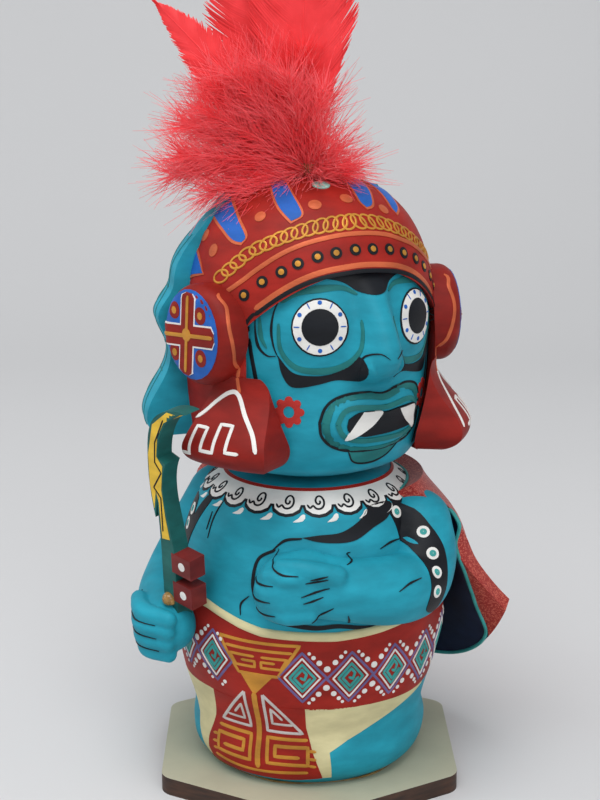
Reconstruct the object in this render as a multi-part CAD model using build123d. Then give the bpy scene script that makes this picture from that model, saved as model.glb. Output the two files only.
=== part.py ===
"""Painted clay figure of a squat standing god on a six-sided base board, with a head that nods on a spring.

Millimetres and degrees. +Z is up and the figure's body faces -Y. The origin is on the underside of the board,
on the figure's axis. Angles round the axis are measured from the front, -Y, towards +X, the figure's left.
The head is modelled in its own frame, facing -Y, and then turned to where it rests.
"""

import os
from math import cos, radians, sin, sqrt, tan

from build123d import *

# Base board
BOARD_CORNER_R = 52.0
BOARD_T = 5.5
BOARD_FILLET = 6.0
GLUE_T = 0.3

# Torso: a hollow turned shape, with an open foot and a neck hole
WALL = 4.0
FOOT_R = 36.8
WAIST_R = 35.2
WAIST_RISE = 18.5
BELT_R = 39.6
BELT_RISE = 32.0
BELLY_R = 41.6
BELLY_RISE = 49.0
CHEST_R = 38.6
CHEST_DROP = 22.0
SHOULDER_R = 32.6
SHOULDER_DROP = 6.8
COLLAR_R = 25.0
TORSO_H = 90.4

# Neck: plug, spring and dowel
PLUG_R = 7.0
PLUG_LENGTH = 12.0
PLUG_FLANGE_R = 9.0
PLUG_FLANGE_T = 1.4
RUN_CLEARANCE = 0.05
SPRING_R = 5.5
SPRING_WIRE_R = 0.6
SPRING_TURNS = 11
SPRING_LENGTH = 27.0
SPRING_GRIP = 5.5
TOP_GAP = 0.3

# Head: a hollow shape with an open bottom
HEAD_TURN = 55.0
HEAD_GAP = 3.0
HEAD_H = 83.9
HEAD_R = 35.6
HEAD_HOLE_R = 16.0
CHIN_FLAT_R = 23.0
CHIN_R = 31.2
CHIN_RISE = 4.2
JAW_R = 34.4
JAW_RISE = 15.0
BROW_R = 34.6
BROW_DROP = 31.0
TEMPLE_R = 29.0
TEMPLE_DROP = 14.0
NOSE_REACH = 9.5
NOSE_RISE = 40.5
LIP_REACH = 3.4
LIP_RISE = 19.0

# Helmet, cheek flaps, ear discs and hair
HELMET_T = 2.2
HELMET_FOOT_RISE = 4.5
FACE_HALF_ANGLE = 56.0
FACE_TOP_RISE = 62.0
FACE_CORNER_RISE = 46.0
FLAP_T = 11.0
FLAP_BOTTOM_RISE = 5.4
FLAP_TOP_RISE = 32.0
FLAP_ANGLE = 57.0
FLAP_HALF_ANGLE = 20.0
FLAP_PINCH = 0.5
DISC_ANGLE = 75.0
DISC_R = 14.5
DISC_T = 6.0
DISC_RISE = 43.0
HAIR_R = 50.0
HAIR_START = 97.0
HAIR_BOTTOM_RISE = 10.0

# Arms
ARM_R = 9.0
WRIST_R = 7.4
FIST_R = 9.6
RIGHT_FIST_ANGLE = -30.2
RIGHT_FIST_R = 48.7
RIGHT_FIST_Z = 54.0
LEFT_FIST_ANGLE = 24.0
LEFT_FIST_Z = 74.5

# Cape
CAPE_T = 5.0
CAPE_TOP_DROP = 2.6
CAPE_HEM_Z = 23.0
CAPE_TIP_Z = 51.0
CAPE_TIP_R = 62.0
CAPE_HALF_ANGLE = 62.0
CAPE_TOP_ANGLE = 92.0

# Sceptre, cut from a board
SCEPTRE_T = 5.5
SCEPTRE_H = 64.0
HANDLE_W = 5.6
LUG_W = 6.8
TANG_L = 9.0
SCEPTRE_ANGLE = -25.9
SCEPTRE_R = 46.9
SCEPTRE_RISE = 9.2
SCEPTRE_FACING = 74.0
SCEPTRE_LEAN = 11.0
SCEPTRE_LEAN_TOWARDS = 22.5
SLOT_CLEARANCE = 0.1

# Plume
QUILL_R = 0.8
QUILL_DEPTH = 1.8
PLUME_PLUG_RISE = 2.6
VANE_T = 0.8
VANE_FACING = 22.5
VANE_SPACING = 3.0
TALL_FEATHER = 68.0
SIDE_FEATHER = 66.0
MIDDLE_FEATHER = 62.0
TALL_W = 32.0
DOWN_REACH = 48.0
DOWN_SHORT_REACH = 24.0

FOOT_Z = BOARD_T + GLUE_T
TORSO_TOP = FOOT_Z + TORSO_H
HEAD_Z = TORSO_TOP + HEAD_GAP
CROWN_Z = HEAD_Z + HEAD_H
BIG = 200.0


def around(angle, radius, z=0.0):
    """The point at this angle from the front, radius and height."""
    return Vector(radius * sin(radians(angle)), -radius * cos(radians(angle)), z)


def turned(outline):
    """A solid of revolution about Z, from a closed outline of edges in the XZ plane."""
    return revolve(make_face(Wire(outline)), Axis.Z, 360)


def barrel(curve, low_r, high_r):
    """A turned solid inside a smooth curve of (radius, height) points, with flat ends in to the two radii."""
    side = Edge.make_spline([Vector(r, 0, z) for r, z in curve])
    low, high = curve[0], curve[-1]
    corners = [(high_r, high[1]), (low_r, low[1])]
    path = [Vector(high[0], 0, high[1])] + [Vector(r, 0, z) for r, z in corners] + [Vector(low[0], 0, low[1])]
    straight = [Edge.make_line(a, b) for a, b in zip(path, path[1:]) if (a - b).length > 1e-6]
    return turned([side] + straight)


def torso_curve(inset=0.0):
    """The torso's side from foot to collar, moved in by inset."""
    points = [
        (FOOT_R, 0.0),
        (WAIST_R, WAIST_RISE),
        (BELT_R, BELT_RISE),
        (BELLY_R, BELLY_RISE),
        (CHEST_R, TORSO_H - CHEST_DROP),
        (SHOULDER_R, TORSO_H - SHOULDER_DROP),
        (COLLAR_R, TORSO_H),
    ]
    return [(r - inset, FOOT_Z + z) for r, z in points]


def head_curve(grow=0.0):
    """The head's side from chin to crown, grown outwards by grow."""
    points = [
        (CHIN_FLAT_R, -grow),
        (CHIN_R + grow * 0.7, CHIN_RISE - grow * 0.7),
        (JAW_R + grow, JAW_RISE),
        (HEAD_R + grow, HEAD_H / 2),
        (BROW_R + grow, HEAD_H - BROW_DROP),
        (TEMPLE_R + grow * 0.8, HEAD_H - TEMPLE_DROP + grow * 0.6),
        (TEMPLE_R / 2 + grow * 0.3, HEAD_H - TEMPLE_DROP / 5 + grow),
    ]
    return [(r, HEAD_Z + z) for r, z in points]


def head_solid(grow=0.0):
    """The filled head, grown by grow: a barrel with a shallow round crown."""
    curve = head_curve(grow)
    side = Edge.make_spline([Vector(r, 0, z) for r, z in curve])
    low, high = curve[0], curve[-1]
    crown = Edge.make_tangent_arc(Vector(high[0], 0, high[1]), side % 1, Vector(0, 0, CROWN_Z + grow))
    top, foot = Vector(0, 0, CROWN_Z + grow), Vector(0, 0, low[1])
    down, out = Edge.make_line(top, foot), Edge.make_line(foot, Vector(low[0], 0, low[1]))
    return turned([side, crown, down, out])


def in_head(shape):
    """Turns what was made facing -Y to where the head rests."""
    return Rot(0, 0, HEAD_TURN) * shape


def rod(start, end, radius, end_radius=None):
    """A round rod, or a cone where end_radius is given, from start to end."""
    along = end - start
    plane = Plane(origin=start, z_dir=along)
    if end_radius is None or abs(end_radius - radius) < 1e-6:
        return plane * Cylinder(radius, along.length, align=(Align.CENTER, Align.CENTER, Align.MIN))
    return plane * Cone(radius, end_radius, along.length, align=(Align.CENTER, Align.CENTER, Align.MIN))


def limb(points, radii):
    """A limb through the points: a ball at each, joined by cones."""
    solid = Pos(*points[0]) * Sphere(radii[0])
    for a, b, r, s in zip(points, points[1:], radii, radii[1:]):
        solid += rod(a, b, r, s) + Pos(*b) * Sphere(s)
    return solid


def base_board():
    board = extrude(RegularPolygon(BOARD_CORNER_R, 6, rotation=0), BOARD_T)
    return fillet(board.edges().filter_by(Axis.Z), BOARD_FILLET)


def glue_ring():
    ring = Circle(FOOT_R - 0.8) - Circle(FOOT_R - WALL)
    return Pos(0, 0, BOARD_T) * extrude(ring, GLUE_T)


def torso_filled():
    return barrel(torso_curve(), 0.0, 0.0)


def torso_shell():
    inner = [(r, z) for r, z in torso_curve(WALL)]
    inner[-1] = (COLLAR_R - WALL, TORSO_TOP - WALL)
    inner[-2] = (SHOULDER_R - WALL, TORSO_TOP - SHOULDER_DROP - WALL / 2)
    shell = torso_filled() - barrel(inner, 0.0, 0.0)
    hole = Pos(0, 0, TORSO_TOP - 2 * WALL) * Cylinder(PLUG_R + RUN_CLEARANCE, 4 * WALL)
    boss = Pos(0, 0, TORSO_TOP - PLUG_LENGTH / 2) * Cylinder(PLUG_R + WALL, PLUG_LENGTH)
    return shell + boss - hole


def right_fist_centre():
    return around(RIGHT_FIST_ANGLE, RIGHT_FIST_R, RIGHT_FIST_Z)


def sceptre_frame():
    """The sceptre's own plane: X along its blade, Y up it, Z out of its painted face, at the foot of its handle."""
    foot = around(SCEPTRE_ANGLE, SCEPTRE_R, RIGHT_FIST_Z + SCEPTRE_RISE)
    lean = around(SCEPTRE_LEAN_TOWARDS, tan(radians(SCEPTRE_LEAN)), 1.0).normalized()
    blade = around(SCEPTRE_FACING, 1.0)
    face = blade.cross(lean).normalized()
    return Plane(origin=foot, x_dir=lean.cross(face), z_dir=face)


def right_arm():
    shoulder = around(-88.0, SHOULDER_R + 1.0, TORSO_TOP - 15.5)
    elbow = around(-76.0, BELLY_R + 2.0, RIGHT_FIST_Z + 4.0)
    fist = right_fist_centre()
    wrist = elbow + (fist - elbow) * 0.55 + around(-55.0, 3.0)
    arm = limb([shoulder, elbow, wrist], [ARM_R + 1.0, ARM_R, WRIST_R]) + rod(wrist, fist, 0.97 * WRIST_R)
    arm += Pos(*fist) * Sphere(FIST_R)
    slot = sceptre_frame() * Box(HANDLE_W + 2 * SLOT_CLEARANCE, 2 * TANG_L, SCEPTRE_T + 2 * SLOT_CLEARANCE)
    return largest(arm - torso_filled() - slot)


def left_arm():
    shoulder = around(95.0, SHOULDER_R + 5.0, TORSO_TOP - 16.0)
    elbow = around(84.0, BELLY_R - 3.0, LEFT_FIST_Z - 8.0)
    forearm = around(56.0, BELLY_R + 0.5, LEFT_FIST_Z - 5.0)
    fist = around(LEFT_FIST_ANGLE, BELLY_R, LEFT_FIST_Z)
    arm = limb([shoulder, elbow, forearm, fist], [ARM_R + 2.0, ARM_R + 1.0, ARM_R + 1.0, FIST_R])
    return largest(arm - torso_filled())


def largest(shape):
    """The biggest solid of a cut shape, without slivers."""
    return max(shape.solids(), key=lambda s: s.volume)


def cape():
    """A flared sheet round the back, tight on the shoulders, that swings out to two rounded tips."""
    columns, rows = 12, 7
    grid = []
    for i in range(columns + 1):
        side = 2 * i / columns - 1
        swing = side * side
        column = []
        for j in range(rows + 1):
            down = j / rows
            top = TORSO_TOP - CAPE_TOP_DROP
            hem = CAPE_HEM_Z + (CAPE_TIP_Z - CAPE_HEM_Z) * swing**2
            z = top + (hem - top) * down
            tight = SHOULDER_R + (BELLY_R + CAPE_T - SHOULDER_R) * min(1.0, down * 3.0)**0.8
            flare = max(0.0, down - 0.35) / 0.65
            radius = tight + (CAPE_TIP_R - BELLY_R - CAPE_T) * flare**1.6 * (0.2 + 0.8 * swing)
            angle = 180.0 - side * (CAPE_HALF_ANGLE + (CAPE_TOP_ANGLE - CAPE_HALF_ANGLE) * (1 - down)**1.4)
            column.append(around(angle, radius, z))
        grid.append(column)
    sheet = Face.make_surface_from_array_of_points(grid)
    cloth = thicken(sheet, amount=CAPE_T / 2, both=True)
    return largest(cloth - torso_filled() - right_arm() - left_arm())


def sceptre():
    """A lightning blade on a square handle, with two square lugs beside the handle."""
    h, half = SCEPTRE_H, HANDLE_W / 2
    lug = half + LUG_W
    with BuildSketch() as outline:
        with BuildLine():
            Polyline((-half, 0.29 * h), (-half, -TANG_L), (half, -TANG_L), (half, 0.013 * h), (lug, 0.013 * h),
                     (lug, 0.121 * h), (half, 0.121 * h), (half, 0.166 * h), (lug, 0.166 * h),
                     (lug, 0.268 * h), (half, 0.268 * h))
            Spline((half, 0.268 * h), (0.2 * half, 0.44 * h), (-0.2 * half, 0.57 * h), (0.5 * half, 0.713 * h))
            Polyline((0.5 * half, 0.713 * h), (-0.7 * half, 0.725 * h))
            Spline((-0.7 * half, 0.725 * h), (-0.3 * half, 0.82 * h), (0.9 * half, 0.915 * h), (4.0 * half, h))
            Spline((4.0 * half, h), (1.5 * half, 0.985 * h), (-1.2 * half, 0.9 * h), (-2.2 * half, 0.725 * h),
                   (-2.2 * half, 0.58 * h), (-1.6 * half, 0.415 * h))
            Polyline((-1.6 * half, 0.415 * h), (-1.15 * half, 0.53 * h), (-half, 0.29 * h))
        make_face()
    slab = extrude(outline.sketch, SCEPTRE_T / 2, both=True)
    return sceptre_frame() * slab


def sceptre_glue():
    """A bead of glue on the handle, just clear of the fist that it runs down to."""
    centre = sceptre_frame() * Pos(-0.6, 0.6, SCEPTRE_T / 2)
    bead = centre * Sphere(2.2)
    fist = Pos(*right_fist_centre()) * Sphere(FIST_R + RUN_CLEARANCE)
    return largest(bead - sceptre() - fist)


def neck_plug():
    top = TORSO_TOP + RUN_CLEARANCE
    plug = Pos(0, 0, top - PLUG_LENGTH / 2) * Cylinder(PLUG_R, PLUG_LENGTH)
    flange = Pos(0, 0, top + PLUG_FLANGE_T / 2) * Cylinder(PLUG_FLANGE_R, PLUG_FLANGE_T)
    stub_h = PLUG_FLANGE_T + SPRING_GRIP
    stub = Pos(0, 0, top + stub_h / 2) * Cylinder(grip_r(), stub_h)
    return plug + flange + stub


def grip_r():
    return SPRING_R - SPRING_WIRE_R - RUN_CLEARANCE


def spring_foot():
    return TORSO_TOP + RUN_CLEARANCE + PLUG_FLANGE_T


def neck_spring():
    height = SPRING_LENGTH - 2 * SPRING_WIRE_R
    path = Pos(0, 0, spring_foot() + SPRING_WIRE_R) * Helix(height / SPRING_TURNS, height, SPRING_R)
    start = path @ 0
    wire = Plane(origin=start, z_dir=path % 0) * Circle(SPRING_WIRE_R)
    return sweep(wire, path=path, is_frenet=True)


def dowel_foot():
    return spring_foot() + SPRING_LENGTH - SPRING_GRIP


def crown_dowel():
    foot, top = dowel_foot(), CROWN_Z
    return Pos(0, 0, (foot + top) / 2) * Cylinder(grip_r(), top - foot)


def head_shell():
    outer = head_solid()
    nose = Pos(0, -(HEAD_R - 1.0), HEAD_Z + NOSE_RISE) * scaled_ball(8.4, NOSE_REACH, 11.0)
    lips = Pos(0, -(JAW_R - 1.0), HEAD_Z + LIP_RISE) * scaled_ball(14.5, LIP_REACH + 1.6, 8.8)
    hole = Pos(0, 0, HEAD_Z) * Cylinder(HEAD_HOLE_R, 4 * WALL)
    dowel_hole = Pos(0, 0, CROWN_Z) * Cylinder(grip_r() + RUN_CLEARANCE, 4 * WALL)
    shell = outer - head_solid(-WALL) + (nose + lips - outer) - hole - dowel_hole
    return in_head(shell)


def scaled_ball(rx, ry, rz):
    """An ellipsoid, as a ball stretched along each axis."""
    return scale(Sphere(1.0), by=(rx, ry, rz))


def helmet_filled():
    return head_solid(HELMET_T)


def face_opening():
    """What the helmet leaves open: a tall arch over the face, and everything under the helmet's foot."""
    half = HEAD_R * sin(radians(FACE_HALF_ANGLE)) + 1.0
    low = HEAD_Z - 5.0
    corner, top = HEAD_Z + FACE_CORNER_RISE, HEAD_Z + FACE_TOP_RISE
    with BuildSketch(Plane.XZ) as arch:
        with BuildLine():
            Polyline((-half * 0.74, low), (half * 0.74, low), (half, HEAD_Z + 30.0), (half, corner))
            ThreePointArc((half, corner), (0, top), (-half, corner))
            Polyline((-half, corner), (-half, HEAD_Z + 30.0), (-half * 0.74, low))
        make_face()
    return extrude(arch.sketch, BIG)


def helmet():
    cap = helmet_filled() - head_solid() - face_opening()
    foot = Pos(0, 0, HEAD_Z + HELMET_FOOT_RISE - BIG / 2) * Box(BIG, BIG, BIG)
    crown_hole = Pos(0, 0, CROWN_Z) * Cylinder(grip_r() + RUN_CLEARANCE, 4 * WALL)
    return in_head(largest(cap - foot - crown_hole))


def flap_band():
    """The ring that the cheek flaps are cut from, flared at the bottom."""
    inner = HEAD_R + HELMET_T
    rises = [FLAP_BOTTOM_RISE, FLAP_BOTTOM_RISE + 7.0, FLAP_TOP_RISE - 8.0, FLAP_TOP_RISE]
    reach = [inner + 3.0, inner + FLAP_T, inner + 2.6, inner + 0.4]
    outer = Edge.make_spline([Vector(r, 0, HEAD_Z + z) for r, z in zip(reach, rises)])
    low, high = HEAD_Z + rises[0], HEAD_Z + rises[-1]
    path = [Vector(reach[-1], 0, high), Vector(5, 0, high), Vector(5, 0, low), Vector(reach[0], 0, low)]
    return turned([outer] + [Edge.make_line(a, b) for a, b in zip(path, path[1:])])


def cheek_flap_facing(side):
    """A padded flap in front of the ear that widens downwards, side -1 for the figure's right and 1 for its left."""
    half = (HEAD_R + FLAP_T) * sin(radians(FLAP_HALF_ANGLE))
    low, high = FLAP_BOTTOM_RISE, FLAP_TOP_RISE + 1.0
    with BuildSketch(Plane.XZ) as fan:
        with BuildLine():
            Polyline((-half, low), (half, low), (FLAP_PINCH * half, high), (-FLAP_PINCH * half, high), (-half, low))
        make_face()
        fillet(fan.vertices().group_by(Axis.Z)[0], half * 0.4)
    wedge = Pos(0, 0, HEAD_Z) * extrude(fan.sketch, BIG)
    return largest(flap_band() & (Rot(0, 0, side * FLAP_ANGLE) * wedge) - helmet_filled())


def ear_disc_facing(side):
    """A domed disc over the ear, trimmed to sit on the helmet and on the cheek flap."""
    reach = HEAD_R + HELMET_T
    disc = Rot(90, 0, 0) * Cylinder(DISC_R, reach + DISC_T, align=(Align.CENTER, Align.CENTER, Align.MIN))
    rim = disc.edges().filter_by(GeomType.CIRCLE).sort_by(Axis.Y)[0]
    disc = fillet(rim, DISC_T * 0.7)
    disc = Rot(0, 0, side * DISC_ANGLE) * (Pos(0, 0, HEAD_Z + DISC_RISE) * disc)
    return largest(disc - helmet_filled() - cheek_flap_facing(side))


def hair_back():
    """Three rolls of hair round the back of the helmet, the lowest one flared."""
    outline = [
        (HAIR_R - 25.5, HEAD_H - 3.1), (HAIR_R - 20.5, HEAD_H - 9.1), (HAIR_R - 16.0, HEAD_H - 14.3),
        (HAIR_R - 12.0, HEAD_H - 19.4), (HAIR_R - 9.0, HEAD_H - 26.5), (HAIR_R - 8.6, HEAD_H - 29.5),
        (HAIR_R - 4.0, HEAD_H - 38.0), (HAIR_R - 7.0, HEAD_H - 46.5), (HAIR_R - 6.5, HEAD_H - 54.0),
        (HAIR_R, HAIR_BOTTOM_RISE + 6.0), (HAIR_R - 3.0, HAIR_BOTTOM_RISE),
    ]
    side = Edge.make_spline([Vector(r, 0, HEAD_Z + z) for r, z in outline])
    start, end = side @ 0, side @ 1
    path = [end, Vector(10, 0, end.Z), Vector(10, 0, start.Z), start]
    ring = turned([side] + [Edge.make_line(a, b) for a, b in zip(path, path[1:])])
    back = Pos(0, 0, HEAD_Z) * Box(2 * BIG, BIG, BIG, align=(Align.CENTER, Align.MIN, Align.CENTER))
    for turn in (HAIR_START - 90.0, 90.0 - HAIR_START):
        ring = ring & (Rot(0, 0, turn) * back)
    hair = ring - helmet_filled()
    for ear in (-1, 1):
        hair = hair - ear_disc_facing(ear) - cheek_flap_facing(ear)
    return in_head(largest(hair))


def plume_root():
    return Vector(0, 0, CROWN_Z + PLUME_PLUG_RISE)


def feather(length, width, lean, offset, bend=0.0):
    """A flat feather that stands on the crown: a quill with a leaf-shaped vane, leaning to one side."""
    bare = 10.0
    reach = length - bare
    with BuildSketch(Plane.XZ) as vane:
        with BuildLine():
            Spline((0, bare), (width * 0.42, bare + reach * 0.3), (width * 0.5, bare + reach * 0.62),
                   (bend, length))
            Spline((bend, length), (-width * 0.5 + bend * 0.4, bare + reach * 0.55),
                   (-width * 0.4, bare + reach * 0.25), (0, bare))
        make_face()
    blade = extrude(vane.sketch, VANE_T / 2, both=True)
    quill = Pos(0, 0, (length * 0.8 - QUILL_DEPTH) / 2) * Cylinder(QUILL_R, length * 0.8 + QUILL_DEPTH)
    whole = Rot(0, lean, 0) * (quill + blade)
    return Pos(*plume_root()) * Rot(0, 0, VANE_FACING) * Pos(0, offset, 0) * whole


def down_tuft(across, towards, reach, rise):
    """A soft tuft of down beside the vanes: across -1 or 1 in their plane, towards -1 behind or 1 in front."""
    half = (reach - 2.0) / 2
    depth = 9.0
    centre = Vector(across * (half + 1.5), -towards * (depth + VANE_SPACING + 1.6), rise)
    tuft = Pos(*centre) * scaled_ball(half, depth, 14.0)
    start = Vector(across * 3.0, -towards * 2.4, 0)
    along = (centre - start).normalized()
    quill = rod(start - along * QUILL_DEPTH, centre, QUILL_R)
    whole = Pos(*plume_root()) * Rot(0, 0, VANE_FACING) * (quill + tuft)
    keep_off = Pos(0, 0, CROWN_Z + 1.0) * Cylinder(4.8, 12.0)
    return largest(whole - (in_head(head_solid(HELMET_T + 0.4)) - keep_off))


def plume_plug(feathers):
    """The blob of glue that fills the helmet's crown hole and holds the quills."""
    top = HELMET_T + PLUME_PLUG_RISE
    blob = Pos(0, 0, CROWN_Z + (top + TOP_GAP) / 2) * Cylinder(grip_r(), top - TOP_GAP)
    for each in feathers:
        blob = blob - each
    return largest(blob)


def main():
    os.makedirs("parts", exist_ok=True)
    plume = {
        "feather_tall": feather(TALL_FEATHER, TALL_W, -5.5, 0.0),
        "feather_side": feather(SIDE_FEATHER, TALL_W * 0.7, -40.0, -VANE_SPACING, bend=-3.0),
        "feather_middle": feather(MIDDLE_FEATHER, TALL_W * 0.9, -18.0, VANE_SPACING),
        "down_front_right": down_tuft(-1, 1, DOWN_REACH, 16.0),
        "down_front_left": down_tuft(1, 1, DOWN_SHORT_REACH, 14.0),
        "down_back_right": down_tuft(-1, -1, DOWN_REACH, 16.0),
        "down_back_left": down_tuft(1, -1, DOWN_SHORT_REACH, 14.0),
    }
    parts = {
        "base_board": base_board(),
        "base_glue": glue_ring(),
        "torso_shell": torso_shell(),
        "right_arm": right_arm(),
        "left_arm": left_arm(),
        "cape": cape(),
        "sceptre": sceptre(),
        "sceptre_glue": sceptre_glue(),
        "neck_plug": neck_plug(),
        "neck_spring": neck_spring(),
        "crown_dowel": crown_dowel(),
        "head_shell": head_shell(),
        "helmet": helmet(),
        "cheek_flap_right": in_head(cheek_flap_facing(-1)),
        "cheek_flap_left": in_head(cheek_flap_facing(1)),
        "ear_disc_right": in_head(ear_disc_facing(-1)),
        "ear_disc_left": in_head(ear_disc_facing(1)),
        "hair_back": hair_back(),
        "plume_plug": plume_plug(plume.values()),
        **plume,
    }
    for node, shape in parts.items():
        export_step(shape, f"parts/{node}.step")


main()
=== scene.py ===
"""Looks of the nodding folk figure: sculpted surfaces, hand-painted motifs and a feather plume.

Plan sizes are millimetres and degrees, as in the CAD, and meshes are scaled to metres when they are made.
Angles round the axis run from the front, -Y, towards +X. Angles on the head start at the head's own front.
Paint is real geometry: thin closed films laid over a surface, each layer a little higher than the last.
"""

from math import ceil, cos, hypot, pi, radians, sin, sqrt, tan

import bmesh
import bpy
import numpy as np
from mathutils import Matrix, Vector
from mathutils.bvhtree import BVHTree
from mathutils.geometry import delaunay_2d_cdt


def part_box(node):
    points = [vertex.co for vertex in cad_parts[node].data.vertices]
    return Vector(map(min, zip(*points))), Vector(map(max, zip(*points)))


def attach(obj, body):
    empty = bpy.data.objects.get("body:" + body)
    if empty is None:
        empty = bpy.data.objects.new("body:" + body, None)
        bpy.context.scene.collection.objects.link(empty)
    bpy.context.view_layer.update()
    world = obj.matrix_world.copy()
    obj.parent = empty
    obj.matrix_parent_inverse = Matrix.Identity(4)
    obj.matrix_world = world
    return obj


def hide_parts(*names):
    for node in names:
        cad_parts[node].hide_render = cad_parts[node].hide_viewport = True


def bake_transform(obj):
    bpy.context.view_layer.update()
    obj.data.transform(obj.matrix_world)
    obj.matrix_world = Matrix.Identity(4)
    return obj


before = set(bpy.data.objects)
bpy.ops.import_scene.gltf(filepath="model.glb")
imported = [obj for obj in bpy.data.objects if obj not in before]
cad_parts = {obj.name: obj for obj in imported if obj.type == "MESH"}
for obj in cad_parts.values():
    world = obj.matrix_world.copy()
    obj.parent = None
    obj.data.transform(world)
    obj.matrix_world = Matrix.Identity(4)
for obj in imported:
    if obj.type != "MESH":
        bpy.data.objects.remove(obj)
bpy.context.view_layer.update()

MM = 0.001
HEAD_TURN = 55.0
FACE_AXIS = 5.0
PLUME_FACING = 22.5
RELIEF_MM_PER_DEGREE = 0.646
FACE_MM_PER_DEGREE = 0.65
EAR_MM_PER_DEGREE = 0.78
HELMET_MM_PER_DEGREE = 0.56
FACE_LOW, FACE_HIGH = -62.0, 72.0
SPRING_R = 5.5
WIRE_R = 0.6
SPRING_HALF_TURNS = 5.5
LAYER = 0.10
SINK = 0.30
rng = np.random.default_rng(11)


# ---------------------------------------------------------------- geometry helpers

def top_of(node):
    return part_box(node)[1].z / MM


def foot_of(node):
    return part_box(node)[0].z / MM


def around(angle, radius, z=0.0):
    """The point at this angle from the front, radius and height."""
    return Vector((radius * sin(radians(angle)), -radius * cos(radians(angle)), z))


def smooth_path(points, step=1.0):
    """Points along a Catmull-Rom curve through the given points, about step apart in plan units."""
    pts = [Vector(p) for p in points]
    if len(pts) < 3:
        return straight_path(points, step)
    out = []
    for i in range(len(pts) - 1):
        a = pts[i - 1] if i else pts[0] * 2 - pts[1]
        b, c = pts[i], pts[i + 1]
        d = pts[i + 2] if i + 2 < len(pts) else c * 2 - b
        count = max(1, ceil((c - b).length / step))
        for k in range(count):
            t = k / count
            out.append(0.5 * ((2 * b) + (c - a) * t + (2 * a - 5 * b + 4 * c - d) * t * t
                              + (3 * b - a - 3 * c + d) * t**3))
    return out + [pts[-1]]


def straight_path(points, step=1.0):
    """Points along straight runs between the given points, about step apart."""
    pts = [Vector(p) for p in points]
    out = []
    for b, c in zip(pts, pts[1:]):
        count = max(1, ceil((c - b).length / step))
        out += [b.lerp(c, k / count) for k in range(count)]
    return out + [pts[-1]]


def by_points(table):
    """A function that reads a value between (place, value) points."""
    xs, ys = zip(*table)
    return lambda x: float(np.interp(x, xs, ys))


def add_mesh(name, verts, faces, material, smooth=True):
    mesh = bpy.data.meshes.new(name)
    mesh.from_pydata([(v[0] * MM, v[1] * MM, v[2] * MM) for v in verts], [], faces)
    mesh.validate()
    mesh.materials.append(material)
    mesh.polygons.foreach_set("use_smooth", [smooth] * len(mesh.polygons))
    obj = bpy.data.objects.new(name, mesh)
    bpy.context.scene.collection.objects.link(obj)
    return obj


def settle(obj, body, slot, *nodes):
    """Puts a finished piece on its body and hides the CAD nodes that it stands for; the finish slot is not
    used.
    """
    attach(obj, body)
    if nodes:
        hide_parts(*nodes)
    return obj


def outward(obj):
    """Makes a closed mesh's faces look outwards."""
    bm = bmesh.new()
    bm.from_mesh(obj.data)
    bmesh.ops.recalc_face_normals(bm, faces=bm.faces)
    bm.to_mesh(obj.data)
    bm.free()
    return obj


def copy_of(node, name, material, crease=35.0):
    """A smooth-shaded copy of a CAD node's own shape."""
    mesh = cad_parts[node].data.copy()
    bm = bmesh.new()
    bm.from_mesh(mesh)
    bmesh.ops.remove_doubles(bm, verts=bm.verts, dist=1e-6)
    bmesh.ops.recalc_face_normals(bm, faces=bm.faces)
    bm.to_mesh(mesh)
    bm.free()
    for attribute in ("custom_normal", "sharp_face"):
        if attribute in mesh.attributes:
            mesh.attributes.remove(mesh.attributes[attribute])
    mesh.materials.clear()
    mesh.materials.append(material)
    mesh.polygons.foreach_set("use_smooth", [True] * len(mesh.polygons))
    mesh.set_sharp_from_angle(angle=radians(crease))
    obj = bpy.data.objects.new(name, mesh)
    bpy.context.scene.collection.objects.link(obj)
    return obj


def ring_sweep(loop, columns, shape):
    """A closed ring: a loop of (radius, z) points round the axis, placed by shape(i, angle, r, z)."""
    verts = [shape(i, a, r, z) for a in columns for i, (r, z) in enumerate(loop)]
    n, m = len(columns), len(loop)
    faces = []
    for c in range(n):
        d = (c + 1) % n
        for i in range(m):
            j = (i + 1) % m
            faces.append((c * m + i, d * m + i, d * m + j, c * m + j))
    return verts, faces


# ---------------------------------------------------------------- materials

def shader(name):
    material = bpy.data.materials.new(name)
    material.use_nodes = True
    tree = material.node_tree
    return material, tree, tree.nodes["Principled BSDF"]


def linear(rgb):
    """A display colour, 0 to 255, as the linear values that a shader takes."""
    return tuple(((c / 255 + 0.055) / 1.055) ** 2.4 if c > 10 else c / 255 / 12.92 for c in rgb) + (1.0,)


def shade(rgb, share):
    return [c * share for c in rgb]


def noise_node(tree, scale, detail=3.0, stretch=(1.0, 1.0, 1.0)):
    coords = tree.nodes.new("ShaderNodeTexCoord")
    mapping = tree.nodes.new("ShaderNodeMapping")
    mapping.inputs["Scale"].default_value = stretch
    noise = tree.nodes.new("ShaderNodeTexNoise")
    noise.inputs["Scale"].default_value = scale
    noise.inputs["Detail"].default_value = detail
    tree.links.new(coords.outputs["Object"], mapping.inputs["Vector"])
    tree.links.new(mapping.outputs["Vector"], noise.inputs["Vector"])
    return noise


def ramp_node(tree, source, stops):
    ramp = tree.nodes.new("ShaderNodeValToRGB")
    elements = ramp.color_ramp.elements
    while len(elements) < len(stops):
        elements.new(0.5)
    for element, (place, colour) in zip(elements, stops):
        element.position = place
        element.color = colour
    tree.links.new(source, ramp.inputs["Fac"])
    return ramp


def bump_node(tree, bsdf, source, strength, distance=0.0002):
    bump = tree.nodes.new("ShaderNodeBump")
    bump.inputs["Strength"].default_value = strength
    bump.inputs["Distance"].default_value = distance
    tree.links.new(source, bump.inputs["Height"])
    tree.links.new(bump.outputs["Normal"], bsdf.inputs["Normal"])


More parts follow.
